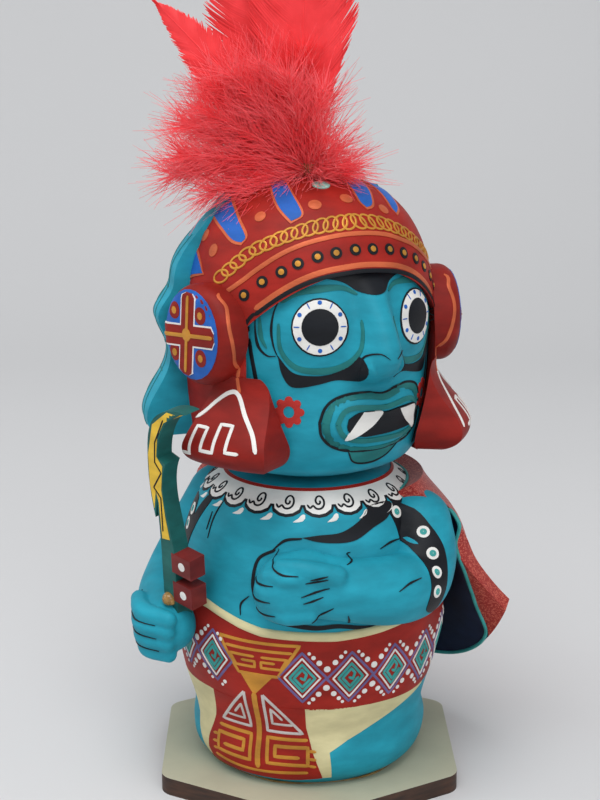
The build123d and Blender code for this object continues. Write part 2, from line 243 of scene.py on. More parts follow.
def paint(name, rgb, spread=0.08, rough=0.62, bump=0.18, metallic=0.0, stretch=(1.0, 1.0, 2.5)):
    """Brushed acrylic: the colour drifts a little lighter and darker along faint strokes."""
    material, tree, bsdf = shader(name)
    drift = noise_node(tree, 90.0, 4.0, stretch)
    dark = linear(shade(rgb, 1 - spread))
    light = linear([min(255, c * (1 + spread * 0.8) + 3) for c in rgb])
    ramp = ramp_node(tree, drift.outputs["Fac"], [(0.32, dark), (0.5, linear(rgb)), (0.7, light)])
    tree.links.new(ramp.outputs["Color"], bsdf.inputs["Base Color"])
    bsdf.inputs["Roughness"].default_value = rough
    bsdf.inputs["Metallic"].default_value = metallic
    bsdf.inputs["Specular IOR Level"].default_value = 0.22
    grain = noise_node(tree, 700.0, 3.0, stretch)
    bump_node(tree, bsdf, grain.outputs["Fac"], bump)
    return material


def glitter_paint(name, rgb, spark):
    """Red paint full of bright flakes."""
    material, tree, bsdf = shader(name)
    coords = tree.nodes.new("ShaderNodeTexCoord")
    flakes = tree.nodes.new("ShaderNodeTexVoronoi")
    flakes.inputs["Scale"].default_value = 2600.0
    tree.links.new(coords.outputs["Object"], flakes.inputs["Vector"])
    stops = [(0.0, linear(rgb)), (0.62, linear(rgb)), (0.74, linear(spark)), (1.0, linear(spark))]
    separate = tree.nodes.new("ShaderNodeSeparateColor")
    tree.links.new(flakes.outputs["Color"], separate.inputs["Color"])
    ramp = ramp_node(tree, separate.outputs["Red"], stops)
    tree.links.new(ramp.outputs["Color"], bsdf.inputs["Base Color"])
    bsdf.inputs["Roughness"].default_value = 0.42
    bsdf.inputs["Metallic"].default_value = 0.25
    bump_node(tree, bsdf, flakes.outputs["Distance"], 0.3, 0.0002)
    return material


def board_material(name, top, edge):
    """Pale paint on top, with the laser-browned edge of the fibreboard below."""
    material, tree, bsdf = shader(name)
    geometry = tree.nodes.new("ShaderNodeNewGeometry")
    split = tree.nodes.new("ShaderNodeSeparateXYZ")
    tree.links.new(geometry.outputs["Normal"], split.inputs["Vector"])
    stain = noise_node(tree, 160.0, 5.0, (1.0, 1.0, 6.0))
    brown = ramp_node(tree, stain.outputs["Fac"], [(0.3, linear(shade(edge, 0.55))), (0.7, linear(edge))])
    haze = noise_node(tree, 60.0, 4.0)
    pale = ramp_node(tree, haze.outputs["Fac"], [(0.3, linear(shade(top, 0.94))), (0.7, linear(top))])
    mix = tree.nodes.new("ShaderNodeMix")
    mix.data_type = "RGBA"
    facing = ramp_node(tree, split.outputs["Z"], [(0.55, (0, 0, 0, 1)), (0.75, (1, 1, 1, 1))])
    tree.links.new(facing.outputs["Color"], mix.inputs["Factor"])
    tree.links.new(brown.outputs["Color"], mix.inputs["A"])
    tree.links.new(pale.outputs["Color"], mix.inputs["B"])
    tree.links.new(mix.outputs["Result"], bsdf.inputs["Base Color"])
    bsdf.inputs["Roughness"].default_value = 0.6
    grain = noise_node(tree, 600.0, 3.0)
    bump_node(tree, bsdf, grain.outputs["Fac"], 0.2)
    return material


def two_tone(name, low, high, scale, detail, stretch=(1.0, 1.0, 1.0), places=(0.3, 0.7), bump=0.0,
        **settings):
    """A material that drifts between two colours, with the other shader inputs given by name."""
    material, tree, bsdf = shader(name)
    drift = noise_node(tree, scale, detail, stretch)
    ramp = ramp_node(tree, drift.outputs["Fac"], [(places[0], linear(low)), (places[1], linear(high))])
    tree.links.new(ramp.outputs["Color"], bsdf.inputs["Base Color"])
    for socket, value in settings.items():
        bsdf.inputs[socket.replace("_", " ")].default_value = value
    if bump:
        bump_node(tree, bsdf, drift.outputs["Fac"], bump)
    return material


def feather_material(name, low, high):
    return two_tone(name, low, high, 120.0, 4.0, Roughness=0.55, Sheen_Weight=0.3, Subsurface_Weight=0.15,
                    Subsurface_Radius=(0.002, 0.0008, 0.0006))


TURQUOISE = paint("turquoise_paint", (30, 146, 168), 0.07, 0.6)
HEAD_TURQUOISE = paint("head_turquoise_paint", (29, 144, 166), 0.07, 0.58)
HAIR_TURQUOISE = paint("hair_turquoise_paint", (34, 150, 174), 0.08, 0.6)
RED = paint("helmet_red_paint", (150, 30, 21), 0.10, 0.55)
# Painted shade: a darker copy of the helmet red, for the cheek flaps and ear discs.
SHADED_FLAP_RED = paint("flap_red_paint_shaded", (130, 24, 16), 0.10, 0.55)
BELT_RED = paint("belt_red_paint", (148, 30, 20), 0.10, 0.58)
BLACK = paint("black_paint", (17, 20, 26), 0.15, 0.5)
NAVY = paint("navy_paint", (25, 31, 56), 0.12, 0.55)
WHITE = paint("white_paint", (226, 224, 220), 0.04, 0.55)
CREAM = paint("cream_paint", (206, 197, 152), 0.06, 0.6)
GOLD = paint("gold_paint", (194, 136, 54), 0.12, 0.42, 0.4, 0.35)
COPPER = paint("copper_paint", (198, 98, 62), 0.10, 0.45, 0.4, 0.3)
BLUE = paint("blue_paint", (30, 92, 176), 0.10, 0.5)
LILAC = paint("lilac_paint", (104, 92, 140), 0.10, 0.55)
TEAL = paint("teal_paint", (58, 152, 148), 0.10, 0.55)
DEEP_TEAL = paint("deep_teal_paint", (30, 112, 112), 0.10, 0.55)
MINT = paint("mint_paint", (150, 208, 196), 0.06, 0.55)
FLOWER_RED = paint("flower_red_paint", (176, 46, 40), 0.08, 0.55)
SILVER = paint("silver_paint", (196, 190, 186), 0.08, 0.45, 0.4, 0.2)
YELLOW = paint("yellow_paint", (226, 186, 62), 0.08, 0.55)
GREEN = paint("sceptre_green_paint", (28, 92, 88), 0.12, 0.55)
LUG_RED = paint("lug_red_paint", (112, 36, 34), 0.12, 0.5)
GLITTER = glitter_paint("glitter_red", (168, 40, 34), (206, 96, 78))
BOARD = board_material("painted_board", (186, 184, 160), (74, 46, 30))
AMBER = (214, 168, 96)
GLUE = two_tone("amber_glue", shade(AMBER, 0.8), AMBER, 300.0, 2.0, Roughness=0.12,
                Transmission_Weight=0.55, IOR=1.48)
STEEL = two_tone("spring_steel", (140, 140, 138), (196, 196, 192), 400.0, 3.0, (1.0, 1.0, 6.0),
                 Metallic=1.0, Roughness=0.3)
WOOD = two_tone("peg_wood", (176, 132, 84), (216, 178, 128), 260.0, 5.0, (1.0, 1.0, 0.12),
                bump=0.3, Roughness=0.7)
FEATHER = feather_material("feather_red", (228, 22, 30), (250, 52, 58))
DOWN = feather_material("down_red", (246, 40, 50), (255, 104, 112))


# ---------------------------------------------------------------- surfaces to paint on

class Canvas:
    """Plan places (angle, height) carried radially onto the outside of some pieces."""

    def __init__(self, pieces, turn=0.0, mean_radius=40.0):
        verts, faces = [], []
        for obj in pieces:
            start = len(verts)
            verts += [v.co / MM for v in obj.data.vertices]
            faces += [[start + i for i in p.vertices] for p in obj.data.polygons]
        self.tree = BVHTree.FromPolygons(verts, faces)
        self.turn = turn
        self.scale = radians(1.0) * mean_radius

    def aim(self, a, b):
        out = around(a + self.turn, 1.0)
        return out * 120.0 + Vector((0, 0, b)), -out

    def at(self, a, b):
        """The surface point and its outward normal at a plan place."""
        start, way = self.aim(a, b)
        point, normal, _, _ = self.tree.ray_cast(start, way)
        if point is None:
            point, normal, _, _ = self.tree.find_nearest(start + way * 80.0)
        return point, normal if normal.dot(way) < 0 else -normal

    def near(self, point, side):
        """The surface point nearest to a point, with the normal on the given side."""
        hit, normal, _, _ = self.tree.find_nearest(point)
        return hit, normal if normal.dot(side) > 0 else -normal


class Dome(Canvas):
    """Plan places (angle, elevation) aimed at the middle of the head, for the top of the helmet."""

    centre = Vector((0, 0, 145.0))

    def aim(self, a, b):
        out = around(a + self.turn, cos(radians(b)), sin(radians(b)))
        return self.centre + out * 120.0, -out


class Flat(Canvas):
    """Plan places on a flat board: millimetres across and up its own plane."""

    def __init__(self, pieces, origin, across, up):
        super().__init__(pieces)
        self.origin, self.across, self.up = origin, across.normalized(), up.normalized()
        self.out = self.across.cross(self.up)
        self.scale = 1.0

    def aim(self, a, b):
        return self.origin + self.across * a + self.up * b + self.out * 60.0, -self.out


class Film:
    """All the paint of one colour on one body, gathered into one piece."""

    made = []

    def __init__(self, name, material, body, slot, *nodes):
        self.name, self.material, self.body, self.slot, self.nodes = name, material, body, slot, nodes
        self.verts, self.faces = [], []
        Film.made.append(self)

    def add(self, verts, faces):
        start = len(self.verts)
        self.verts += verts
        self.faces += [tuple(start + i for i in face) for face in faces]

    def dot(self, canvas, a, b, r, layer=1, squeeze=1.0):
        """A low domed spot, round or squeezed to an oval."""
        centre, normal = canvas.at(a, b)
        upward = Vector((0, 0, 1))
        t = (upward - normal * upward.dot(normal)).normalized()
        s = t.cross(normal)
        count = 10 if r < 1.2 else 16 if r < 3 else 28
        rings = 1 if r < 1.2 else 2 if r < 3 else 5
        lift = layer * LAYER
        verts = [centre + normal * (lift + min(0.3, r * 0.18) * (r < 3))]
        rows = [(r * k / rings, lift) for k in range(1, rings + 1)] + [(r, -SINK)]
        for reach, rise in rows:
            for i in range(count):
                turn = 2 * pi * i / count
                x, y = reach * cos(turn), reach * sin(turn) * squeeze
                p, n = canvas.near(centre + s * x + t * y, normal)
                verts.append(p + n * rise)
        faces = [(0, 1 + i, 1 + (i + 1) % count) for i in range(count)]
        for k in range(rings):
            a0, b0 = 1 + k * count, 1 + (k + 1) * count
            for i in range(count):
                j = (i + 1) % count
                faces.append((a0 + i, b0 + i, b0 + j, a0 + j))
        faces.append(tuple(range(1 + (rings + 1) * count - 1, rings * count, -1)))
        self.add(verts, faces)

    def stroke(self, canvas, points, width, layer=1, curved=True, taper=(), height=0.12, closed=False):
        """A brush line through plan places, with round ends; taper gives its width at each end as a share."""
        path = [Vector((p[0] * canvas.scale, p[1])) for p in points]
        if closed:
            path.append(path[0])
        step = min(1.0, max(0.35, width * 0.7))
        path = smooth_path(path, step) if curved else straight_path(path, step)
        spots = [canvas.at(p[0] / canvas.scale, p[1]) for p in path]
        n = len(spots)
        verts, faces = [], []
        for i, (p, normal) in enumerate(spots):
            ahead, behind = spots[(i + 1) % n if closed else min(i + 1, n - 1)][0], spots[i - 1
                if i else 0][0]
            along = (ahead - behind).normalized()
            side = normal.cross(along)
            share = 1.0
            if taper:
                share = taper[0] + (1 - taper[0]) * min(1.0, i / (n * 0.5))
                share = min(share, taper[1] + (1 - taper[1]) * min(1.0, (n - 1 - i) / (n * 0.5)))
            if not closed and (i == 0 or i == n - 1):
                share *= 0.45
            half = width / 2 * share
            lift = layer * LAYER
            verts += [p - side * half - normal * SINK, p - side * half + normal * lift,
                      p + normal * (lift + height), p + side * half + normal * lift,
                      p + side * half - normal * SINK]
        for i in range(n - 1):
            for k in range(5):
                j = (k + 1) % 5
                faces.append((i * 5 + k, i * 5 + j, i * 5 + 5 + j, i * 5 + 5 + k))
        faces += [(4, 3, 2, 1, 0), tuple(range((n - 1) * 5, n * 5))]
        self.add(verts, faces)

    def patch(self, canvas, outline, layer=1, curved=True, grain=1.3):
        """A filled area inside a closed outline of plan places."""
        ring = [Vector((p[0] * canvas.scale, p[1])) for p in outline]
        ring.append(ring[0])
        ring = (smooth_path(ring, grain) if curved else straight_path(ring, grain))[:-1]
        ring = [Vector((p[0], p[1])) for p in ring]
        xs, ys = [p.x for p in ring], [p.y for p in ring]
        inner = []
        y = min(ys) + grain / 2
        while y < max(ys):
            crossings = sorted(crossing(ring, y))
            for left, right in zip(crossings[::2], crossings[1::2]):
                x = left + grain * 0.6
                while x < right - grain * 0.5:
                    inner.append(Vector((x, y)))
                    x += grain
            y += grain
        n = len(ring)
        edges = [(i, (i + 1) % n) for i in range(n)]
        flat, _, faces2, _, _, _ = delaunay_2d_cdt(ring + inner, edges, [], 1, 1e-4)
        top, bottom = [], []
        for p in flat:
            spot, normal = canvas.at(p.x / canvas.scale, p.y)
            top.append(spot + normal * layer * LAYER)
            bottom.append(spot - normal * SINK)
        m = len(flat)
        faces = [tuple(f) for f in faces2] + [tuple(m + i for i in reversed(f)) for f in faces2]
        used = {}
        for f in faces2:
            for a, b in zip(f, list(f[1:]) + [f[0]]):
                used[(a, b)] = True
        faces += [(b, a, m + a, m + b) for a, b in used if (b, a) not in used]
        self.add(top + bottom, faces)

    def band(self, canvas, low, high, a0=-180.0, a1=180.0, layer=1, rows=8, step=1.5, height=0.0):
        """A strip between two height functions of the angle, all the way round or between two angles."""
        closed = a1 - a0 >= 360.0
        count = max(2, ceil((a1 - a0) / step))
        verts, faces = [], []
        m = 2 * (rows + 1)
        for i in range(count if closed else count + 1):
            a = a0 + (a1 - a0) * i / count
            top, bottom = [], []
            for k in range(rows + 1):
                t = k / rows
                p, normal = canvas.at(a, low(a) + (high(a) - low(a)) * t)
                top.append(p + normal * (layer * LAYER + height * sqrt(max(0.0, 1 - (2 * t - 1) ** 2))))
                bottom.append(p - normal * SINK)
            verts += top + bottom[::-1]
        n = len(verts) // m
        for i in range(n if closed else n - 1):
            j = (i + 1) % n
            for k in range(m):
                q = (k + 1) % m
                faces.append((i * m + k, j * m + k, j * m + q, i * m + q))
        if not closed:
            faces += [tuple(range(m)), tuple(range(n * m - 1, (n - 1) * m - 1, -1))]
        self.add(verts, faces)

    def piece(self):
        obj = add_mesh(self.name, self.verts, self.faces, self.material)
        outward(obj)
        obj.data.set_sharp_from_angle(angle=radians(50))
        return settle(obj, self.body, self.slot, *self.nodes)


def crossing(ring, y):
    """Where a horizontal line cuts a closed outline."""
    out = []
    for p, q in zip(ring, ring[1:] + ring[:1]):
        if (p.y > y) != (q.y > y):
            out.append(p.x + (q.x - p.x) * (y - p.y) / (q.y - p.y))
    return out


def loop(cx, cz, rx, rz, count, start=0.0):
    """Points of an ellipse in plan."""
    turns = [radians(start + 360.0 * i / count) for i in range(count)]
    return [(cx + rx * cos(t), cz + rz * sin(t)) for t in turns]


def spiral(cx, cz, rx, rz, turns, start=0.0, count=18, end=0.15):
    """Points of a round spiral in plan, from outside inwards."""
    out = []
    for i in range(count + 1):
        t = i / count
        k = 1 - (1 - end) * t
        angle = radians(start) + 2 * pi * turns * t
        out.append((cx + rx * k * cos(angle), cz + rz * k * sin(angle)))
    return out


def square_spiral(x0, z0, x1, z1, pitch_x, pitch_z, legs):
    """Corners of a square spiral that starts at (x0, z0) and winds inwards, first across towards x1."""
    out, box = [(x0, z0)], [x0, z0, x1, z1]
    sx, sz = (1 if x1 > x0 else -1), (1 if z1 > z0 else -1)
    for leg in range(legs):
        side = leg % 4
        if side == 0:
            out.append((box[2], out[-1][1]))
            box[1] += sz * pitch_z
        elif side == 1:
            out.append((out[-1][0], box[3]))
            box[2] -= sx * pitch_x
        elif side == 2:
            out.append((box[0], out[-1][1]))
            box[3] -= sz * pitch_z
        else:
            out.append((out[-1][0], box[1]))
            box[0] += sx * pitch_x
    return out


# ---------------------------------------------------------------- sculpted pieces

HEAD_FOOT = foot_of("head_shell")
TORSO_TOP = top_of("torso_shell")
NOSE_HEIGHT = by_points([(128.6, 0), (130.4, 3.8), (133, 7.8), (136.5, 10.2), (140, 10.2), (144, 8.4),
    (150, 5.4), (156, 2.8), (161, 0)])
NOSE_WIDTH = by_points([(129, 5.6), (135, 6.4), (140, 5.8), (147, 4.6), (160, 5.2)])


def face_relief(u, z):
    """How far the face stands out at a head angle and height."""
    x = (u - FACE_AXIS) * RELIEF_MM_PER_DEGREE
    nose = NOSE_HEIGHT(z) * np.exp(-(abs(x) / NOSE_WIDTH(z)) ** 2.6)
    wings = sum(2.0 * np.exp(-((x - s * 5.8) / 2.6) ** 2 - ((z - 134.2) / 3.0) ** 2) for s in (-1, 1))
    lobes = sum(1.5 * np.exp(-(hypot(x - s * 17.0, z - 145.5) / 10.5) ** 4) for s in (-1, 1))
    q = ((x - 2.6) / 18.6) ** 2 + ((z - 118.0) / 8.9) ** 2
    lips = 3.4 * max(0.0, 1 - q) ** 0.6
    opening = ((x - 5.2) / 14.0) ** 2 + ((z - 117.6) / 3.9) ** 2
    lips -= 1.7 * np.exp(-opening**2)
    return nose + wings * (nose < 7) + lobes + lips


def head_piece():
    """The hollow head with its nose, eye mounds and lips, open at the neck and at the peg hole."""
    side = [(4.9, 83.8), (14.5, 81.1), (29.0, 69.9), (34.6, 52.9), (35.6, 42.0), (34.4, 15.0), (31.2, 4.2),
        (23.0, 0.0)]
    outer = [(p.x, HEAD_FOOT + p.y) for p in smooth_path(side, 0.9)]
    inside = [(16.0, 0.0), (16.0, 4.0), (27.5, 6.5), (30.4, 16.0), (31.6, 42.0), (30.4, 53.0), (25.0, 67.5),
              (13.0, 77.4), (4.9, 79.8)]
    inner = [(p.x, HEAD_FOOT + p.y) for p in straight_path(inside, 3.0)]
    fine = list(np.arange(FACE_LOW, FACE_HIGH, 0.7))
    coarse = list(np.arange(FACE_HIGH, FACE_LOW + 360.0, 4.0))

    def place(i, u, r, z):
        grow = face_relief(u, z) if i < len(outer) and FACE_LOW < u < FACE_HIGH else 0.0
        return around(u + HEAD_TURN, r + grow, z)

    verts, faces = ring_sweep(outer + inner, fine + coarse, place)
    obj = outward(add_mesh("head", verts, faces, HEAD_TURQUOISE))
    return settle(obj, "head", "pulp_turquoise", "head_shell")


def torso_piece():
    """The hollow body, with the clay rounded under at the foot."""
    low, high = foot_of("torso_shell"), TORSO_TOP
    side = [(25.0, high), (32.6, high - 6.8), (38.6, high - 22.0), (41.6, low + 49.0), (39.6, low + 32.0),
            (35.6, low + 18.5), (36.3, low + 9.5), (34.9, low + 3.4), (31.2, low)]
    outer = [tuple(q) for q in smooth_path(side, 1.0)]
    inside = [(28.5, low), (31.0, low + 18), (35.0, low + 32), (37.0, low + 49), (34.4, high - 22),
        (28.0, high - 9), (11.0, high - 8), (7.05, high - 8), (7.05, high)]
    inner = [tuple(q) for q in straight_path(inside, 4.0)]

    def place(i, angle, r, z):
        soft = 0.18 * sin(radians(angle) * 5 + z * 0.21) + 0.12 * sin(radians(angle) * 9 - z * 0.33)
        return around(angle, r + (soft if 4 < i < len(outer) - 3 else 0.0), z)

    verts, faces = ring_sweep(outer + inner, list(np.arange(0.0, 360.0, 2.5)), place)
    obj = outward(add_mesh("torso", verts, faces, TURQUOISE))
    obj.data.set_sharp_from_angle(angle=radians(50))
    return settle(obj, "figure", "clay_turquoise", "torso_shell")


def base_glue_piece():
    """The smear of glue under the foot."""
    low, high = foot_of("base_glue"), top_of("base_glue")
    verts, faces = ring_sweep([(29.0, low), (31.6, low), (31.0, high), (29.0, high)], list(range(0, 360, 4)),
                              lambda i, angle, r, z: around(angle, r + 0.5 * sin(radians(angle) * 7), z))
    return settle(outward(add_mesh("base_glue_ring", verts, faces, GLUE)), "figure", "hot_glue", "base_glue")


def remeshed(name, balls, material, voxel=0.6, ease=8):
    """One organic solid from overlapping balls (centre, radius)."""
    bm = bmesh.new()
    for centre, radius in balls:
        where = Matrix.Translation(Vector(centre) * MM)
        bmesh.ops.create_icosphere(bm, subdivisions=3, radius=radius * MM, matrix=where)
    mesh = bpy.data.meshes.new(name)
    bm.to_mesh(mesh)
    bm.free()
    obj = bpy.data.objects.new(name, mesh)
    bpy.context.scene.collection.objects.link(obj)
    skin = obj.modifiers.new("skin", "REMESH")
    skin.mode = "VOXEL"
    skin.voxel_size = voxel * MM
    soften = obj.modifiers.new("soften", "SMOOTH")
    soften.iterations = ease
    soften.factor = 0.6
    final = bpy.data.meshes.new_from_object(obj.evaluated_get(bpy.context.evaluated_depsgraph_get()))
    obj.modifiers.clear()
    obj.data = final
    final.materials.clear()
    final.materials.append(material)
    final.polygons.foreach_set("use_smooth", [True] * len(final.polygons))
    return obj


def chain(points, radii, step=1.6):
    """Balls along a smooth line through the points, with the radius easing between them."""
    path = smooth_path(points, step)
    marks = [0.0]
    for a, b in zip(path, path[1:]):
        marks.append(marks[-1] + (b - a).length)
    stops = [0.0]
    for a, b in zip(points, points[1:]):
        stops.append(stops[-1] + (Vector(b) - Vector(a)).length)
    stops = [s * marks[-1] / stops[-1] for s in stops]
    return [(p, float(np.interp(m, stops, radii))) for p, m in zip(path, marks)]


def left_arm_piece():
    """The arm that is folded over the belly, with a closed hand: four curled fingers and a thumb."""
    arm = [around(97, 35.0, 82.0), around(90, 38.0, 74.0), around(80, 39.5, 67.5), around(62, 41.5, 68.5),
           around(44, 42.0, 71.0), around(30, 42.0, 73.0)]
    balls = chain(arm, [10.4, 11.0, 10.6, 10.2, 9.2, 9.4])
    balls += chain([around(28, 43.0, 74.0), around(22, 43.0, 72.6), around(20, 42.5, 70.5)], [9.6, 9.8, 9.2])
    for k, z in enumerate((77.4, 73.4, 69.6, 66.2)):
        tip = (15.5, 13.0, 13.0, 15.5)[k]
        knuckles = [around(29, 49.6, z + 0.4), around(22, 50.4 - 0.3 * k, z),
                    around(tip, 47.4 - 0.3 * k, z - 0.3)]
        balls += chain(knuckles, [2.6, 2.8, 2.5])
    balls += chain([around(38, 48.6, 77.5), around(28, 50.0, 80.2), around(20, 48.4, 80.2)], [3.4, 2.9, 2.5])
    obj = remeshed("left_arm_skin", balls, TURQUOISE)
    return settle(obj, "figure", "clay_turquoise", "left_arm")


def right_arm_piece():
    """The arm at the side, bent forwards, with a fist round the sceptre's handle."""
    elbow, fist = around(-76, 43.6, 58.0), around(-30.2, 48.7, 54.0)
    wrist = elbow + (fist - elbow) * 0.55 + around(-55, 3.0)
    balls = chain([around(-90, 32.5, 82.0), around(-85, 38.5, 70.0), elbow, wrist, fist],
        [9.6, 9.4, 9.0, 7.4, 8.6])
    for k, z in enumerate((59.6, 55.4, 51.2, 47.4)):
        reach = 56.2 - (0.0, 0.0, 0.5, 1.6)[k]
        start, end = around(-40, reach - 2.0, z + 0.4), around(-21.0 - k, reach - 3.2, z - 0.6)
        balls += chain([start, around(-31, reach, z), end], [2.7, 2.9, 2.5])
    obj = remeshed("right_arm_skin", balls, TURQUOISE)
    return settle(obj, "figure", "clay_turquoise", "right_arm")


def spring_half(name, z0, z1, start_turn):
    """Half of the neck spring as a coiled wire between two heights."""
    ring, count = 8, int(40 * SPRING_HALF_TURNS)
    verts = []
    for i in range(count + 1):
        t = i / count
        angle = start_turn + 2 * pi * SPRING_HALF_TURNS * t
        out = Vector((cos(angle), sin(angle), 0.0))
        centre = out * SPRING_R + Vector((0, 0, z0 + (z1 - z0) * t))
        for k in range(ring):
            turn = 2 * pi * k / ring
            verts.append(centre + out * WIRE_R * cos(turn) + Vector((0, 0, WIRE_R * sin(turn))))
    faces = []
    for i in range(count):
        for k in range(ring):
            j = (k + 1) % ring
            faces.append((i * ring + k, i * ring + j, (i + 1) * ring + j, (i + 1) * ring + k))
    faces += [tuple(range(ring)), tuple(range((count + 1) * ring - 1, count * ring - 1, -1))]
    obj = outward(add_mesh(name, verts, faces, STEEL))
    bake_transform(obj)
    return obj


def spring_pieces():
    low, high = foot_of("neck_spring") + WIRE_R, top_of("neck_spring") - WIRE_R
    middle = (low + high) / 2
    lower = spring_half("spring_lower", low, middle, 0.0)
    spring_half("spring_upper", middle, high, pi)
    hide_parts("neck_spring")


def cape_piece():
    """The cape: glittering red outside and on its thick rim, navy inside."""
    obj = copy_of("cape", "cape_skin", GLITTER, 40.0)
    obj.data.materials.append(NAVY)
    for face in obj.data.polygons:
        centre, normal = face.center / MM, face.normal
        radial = Vector((centre.x, centre.y, 0)).normalized()
        face.material_index = 1 if normal.dot(radial) < -0.55 else 0
    cape_line(obj)
    return settle(obj, "figure", "cape_clay", "cape")


def cape_line(obj):
    """A turquoise line painted along the cape's inner corner, where navy meets the glitter."""
    sides = {}
    for face in obj.data.polygons:
        for key in face.edge_keys:
            sides.setdefault(key, set()).add(face.material_index)
    line = {key for key, found in sides.items() if len(found) == 2}
    spots = {i: obj.data.vertices[i].co / MM for key in line for i in key}
    near = {i: [j for key in line if i in key for j in key if j != i] for i in spots}
    for _ in range(8):
        middles = {i: sum((spots[j] for j in near[i]), Vector()) / len(near[i]) for i in spots}
        spots = {i: (p + middles[i]) / 2 for i, p in spots.items()}
    film = Film("cape_line", TEAL, "figure", "cape_clay")
    for i, j in sorted(line):
        if (spots[i] - spots[j]).length > 0.05:
            film.add(*thread(spots[i], spots[j], 0.6))


def thread(p, q, radius, sides=6):
    """A short closed prism from one point to another, just long enough to overlap the next one."""
    along = (q - p).normalized()
    side = along.orthogonal().normalized()
    other = along.cross(side)
    ring = [side * cos(2 * pi * k / sides) + other * sin(2 * pi * k / sides) for k in range(sides)]
    verts = [c + r * radius for c in (p - along * 0.2, q + along * 0.2) for r in ring]
    faces = [(k, (k + 1) % sides, sides + (k + 1) % sides, sides + k) for k in range(sides)]
    return verts, faces + [tuple(range(sides - 1, -1, -1)), tuple(range(sides, 2 * sides))]


def plain_pieces():
    """Pieces that keep the CAD shape, smooth-shaded."""
    made = {}
    for node, material, body, slot in (
        ("base_board", BOARD, "figure", "board_mdf"),
        ("sceptre", GREEN, "figure", "sceptre_mdf"),
        ("sceptre_glue", GLUE, "figure", "hot_glue"),
        ("neck_plug", WOOD, "figure", "wood_peg"),
        ("crown_dowel", WOOD, "crown_dowel", "wood_peg"),
        ("helmet", RED, "head", "pulp_red"),
        # The flaps and ear discs take the helmet red darkened as painted shade.
        ("cheek_flap_right", SHADED_FLAP_RED, "head", "pulp_red"),
        ("cheek_flap_left", SHADED_FLAP_RED, "head", "pulp_red"),
        ("ear_disc_right", SHADED_FLAP_RED, "head", "pulp_red"),
        ("ear_disc_left", SHADED_FLAP_RED, "head", "pulp_red"),
        ("hair_back", HAIR_TURQUOISE, "head", "pulp_turquoise"),
        ("plume_plug", GLUE, "head", "hot_glue"),
    ):
        obj = copy_of(node, node + "_skin", material)
        made[node] = settle(obj, body, slot, node)
    return made


skins = plain_pieces()
skins["head"] = head_piece()
skins["torso_shell"] = torso_piece()
base_glue_piece()
skins["left_arm"] = left_arm_piece()
skins["right_arm"] = right_arm_piece()
skins["cape"] = cape_piece()
spring_pieces()


# ---------------------------------------------------------------- painting the body

BELT_TOP = by_points([(-180, 59.5), (-90, 61.5), (-50, 61.8), (-17, 60.6), (0, 57.4), (10, 56.0), (40, 55.2),
                      (60, 55.9), (85, 57.7), (130, 59.0), (180, 59.5)])
BELT_FOOT = by_points([(-180, 33.5), (-20, 33.8), (0, 33.5), (28, 32.6), (90, 32.0), (180, 33.5)])
BELT_MIDDLE = by_points([(-180, 46.5), (-33, 47.5), (-13.5, 46.5), (6.5, 44.8), (27, 43.7), (67, 43.0),
    (87, 43.2), (140, 45.5), (180, 46.5)])
DIAMONDS = 18
BELT_DOTS = ((0, 3.2, 1.0), (3.2, 5.3, 0.85), (-3.2, 5.3, 0.85), (5.5, 7.0, 0.65), (-5.5, 7.0, 0.65),
             (7.2, 8.3, 0.5), (-7.2, 8.3, 0.5))
RUFF_SCALLOPS = 21


def body_film(name, material):
    return Film(name, material, "figure", "clay_turquoise")


def paint_belt(canvas, red, cream, white, teal, lilac):
    """The red belt with its rope edge and its row of diamonds."""
    red.band(canvas, BELT_FOOT, BELT_TOP, layer=1, rows=18, step=2.0)
    cream.band(canvas, BELT_TOP, lambda a: BELT_TOP(a) + 2.7, layer=1, rows=8, step=2.0, height=0.8)
    pitch = 360.0 / DIAMONDS
    for k in range(DIAMONDS):
        c = -13.5 + pitch * k
        z = BELT_MIDDLE(c if c < 180 else c - 360)
        if k != 1:
            lilac.stroke(canvas, diamond(c, z, pitch / 2, 8.2), 0.75, 2, False, closed=True)
            white.stroke(canvas, diamond(c, z, 7.4, 6.5), 0.5, 3, False, closed=True)
            teal.stroke(canvas, diamond(c, z, 5.2, 4.6), 0.8, 3, False, closed=True)
            teal.stroke(canvas, [(c + 3.4, z), (c, z - 3.0), (c - 3.4, z), (c, z + 3.0), (c + 1.7, z + 1.4),
                                 (c + 0.9, z - 0.6), (c - 0.9, z + 0.2)], 0.8, 3, False)
        cross = c + pitch / 2
        z = BELT_MIDDLE(cross if cross < 180 else cross - 360)
        for da, dz, r in BELT_DOTS:
            for up in (-1, 1):
                a = cross + da
                if not -8.5 < a < 25.5:
                    white.dot(canvas, a, z + up * dz, r, 3)


def diamond(c, z, half, high):
    return [(c - half, z), (c, z + high), (c + half, z), (c, z - high)]


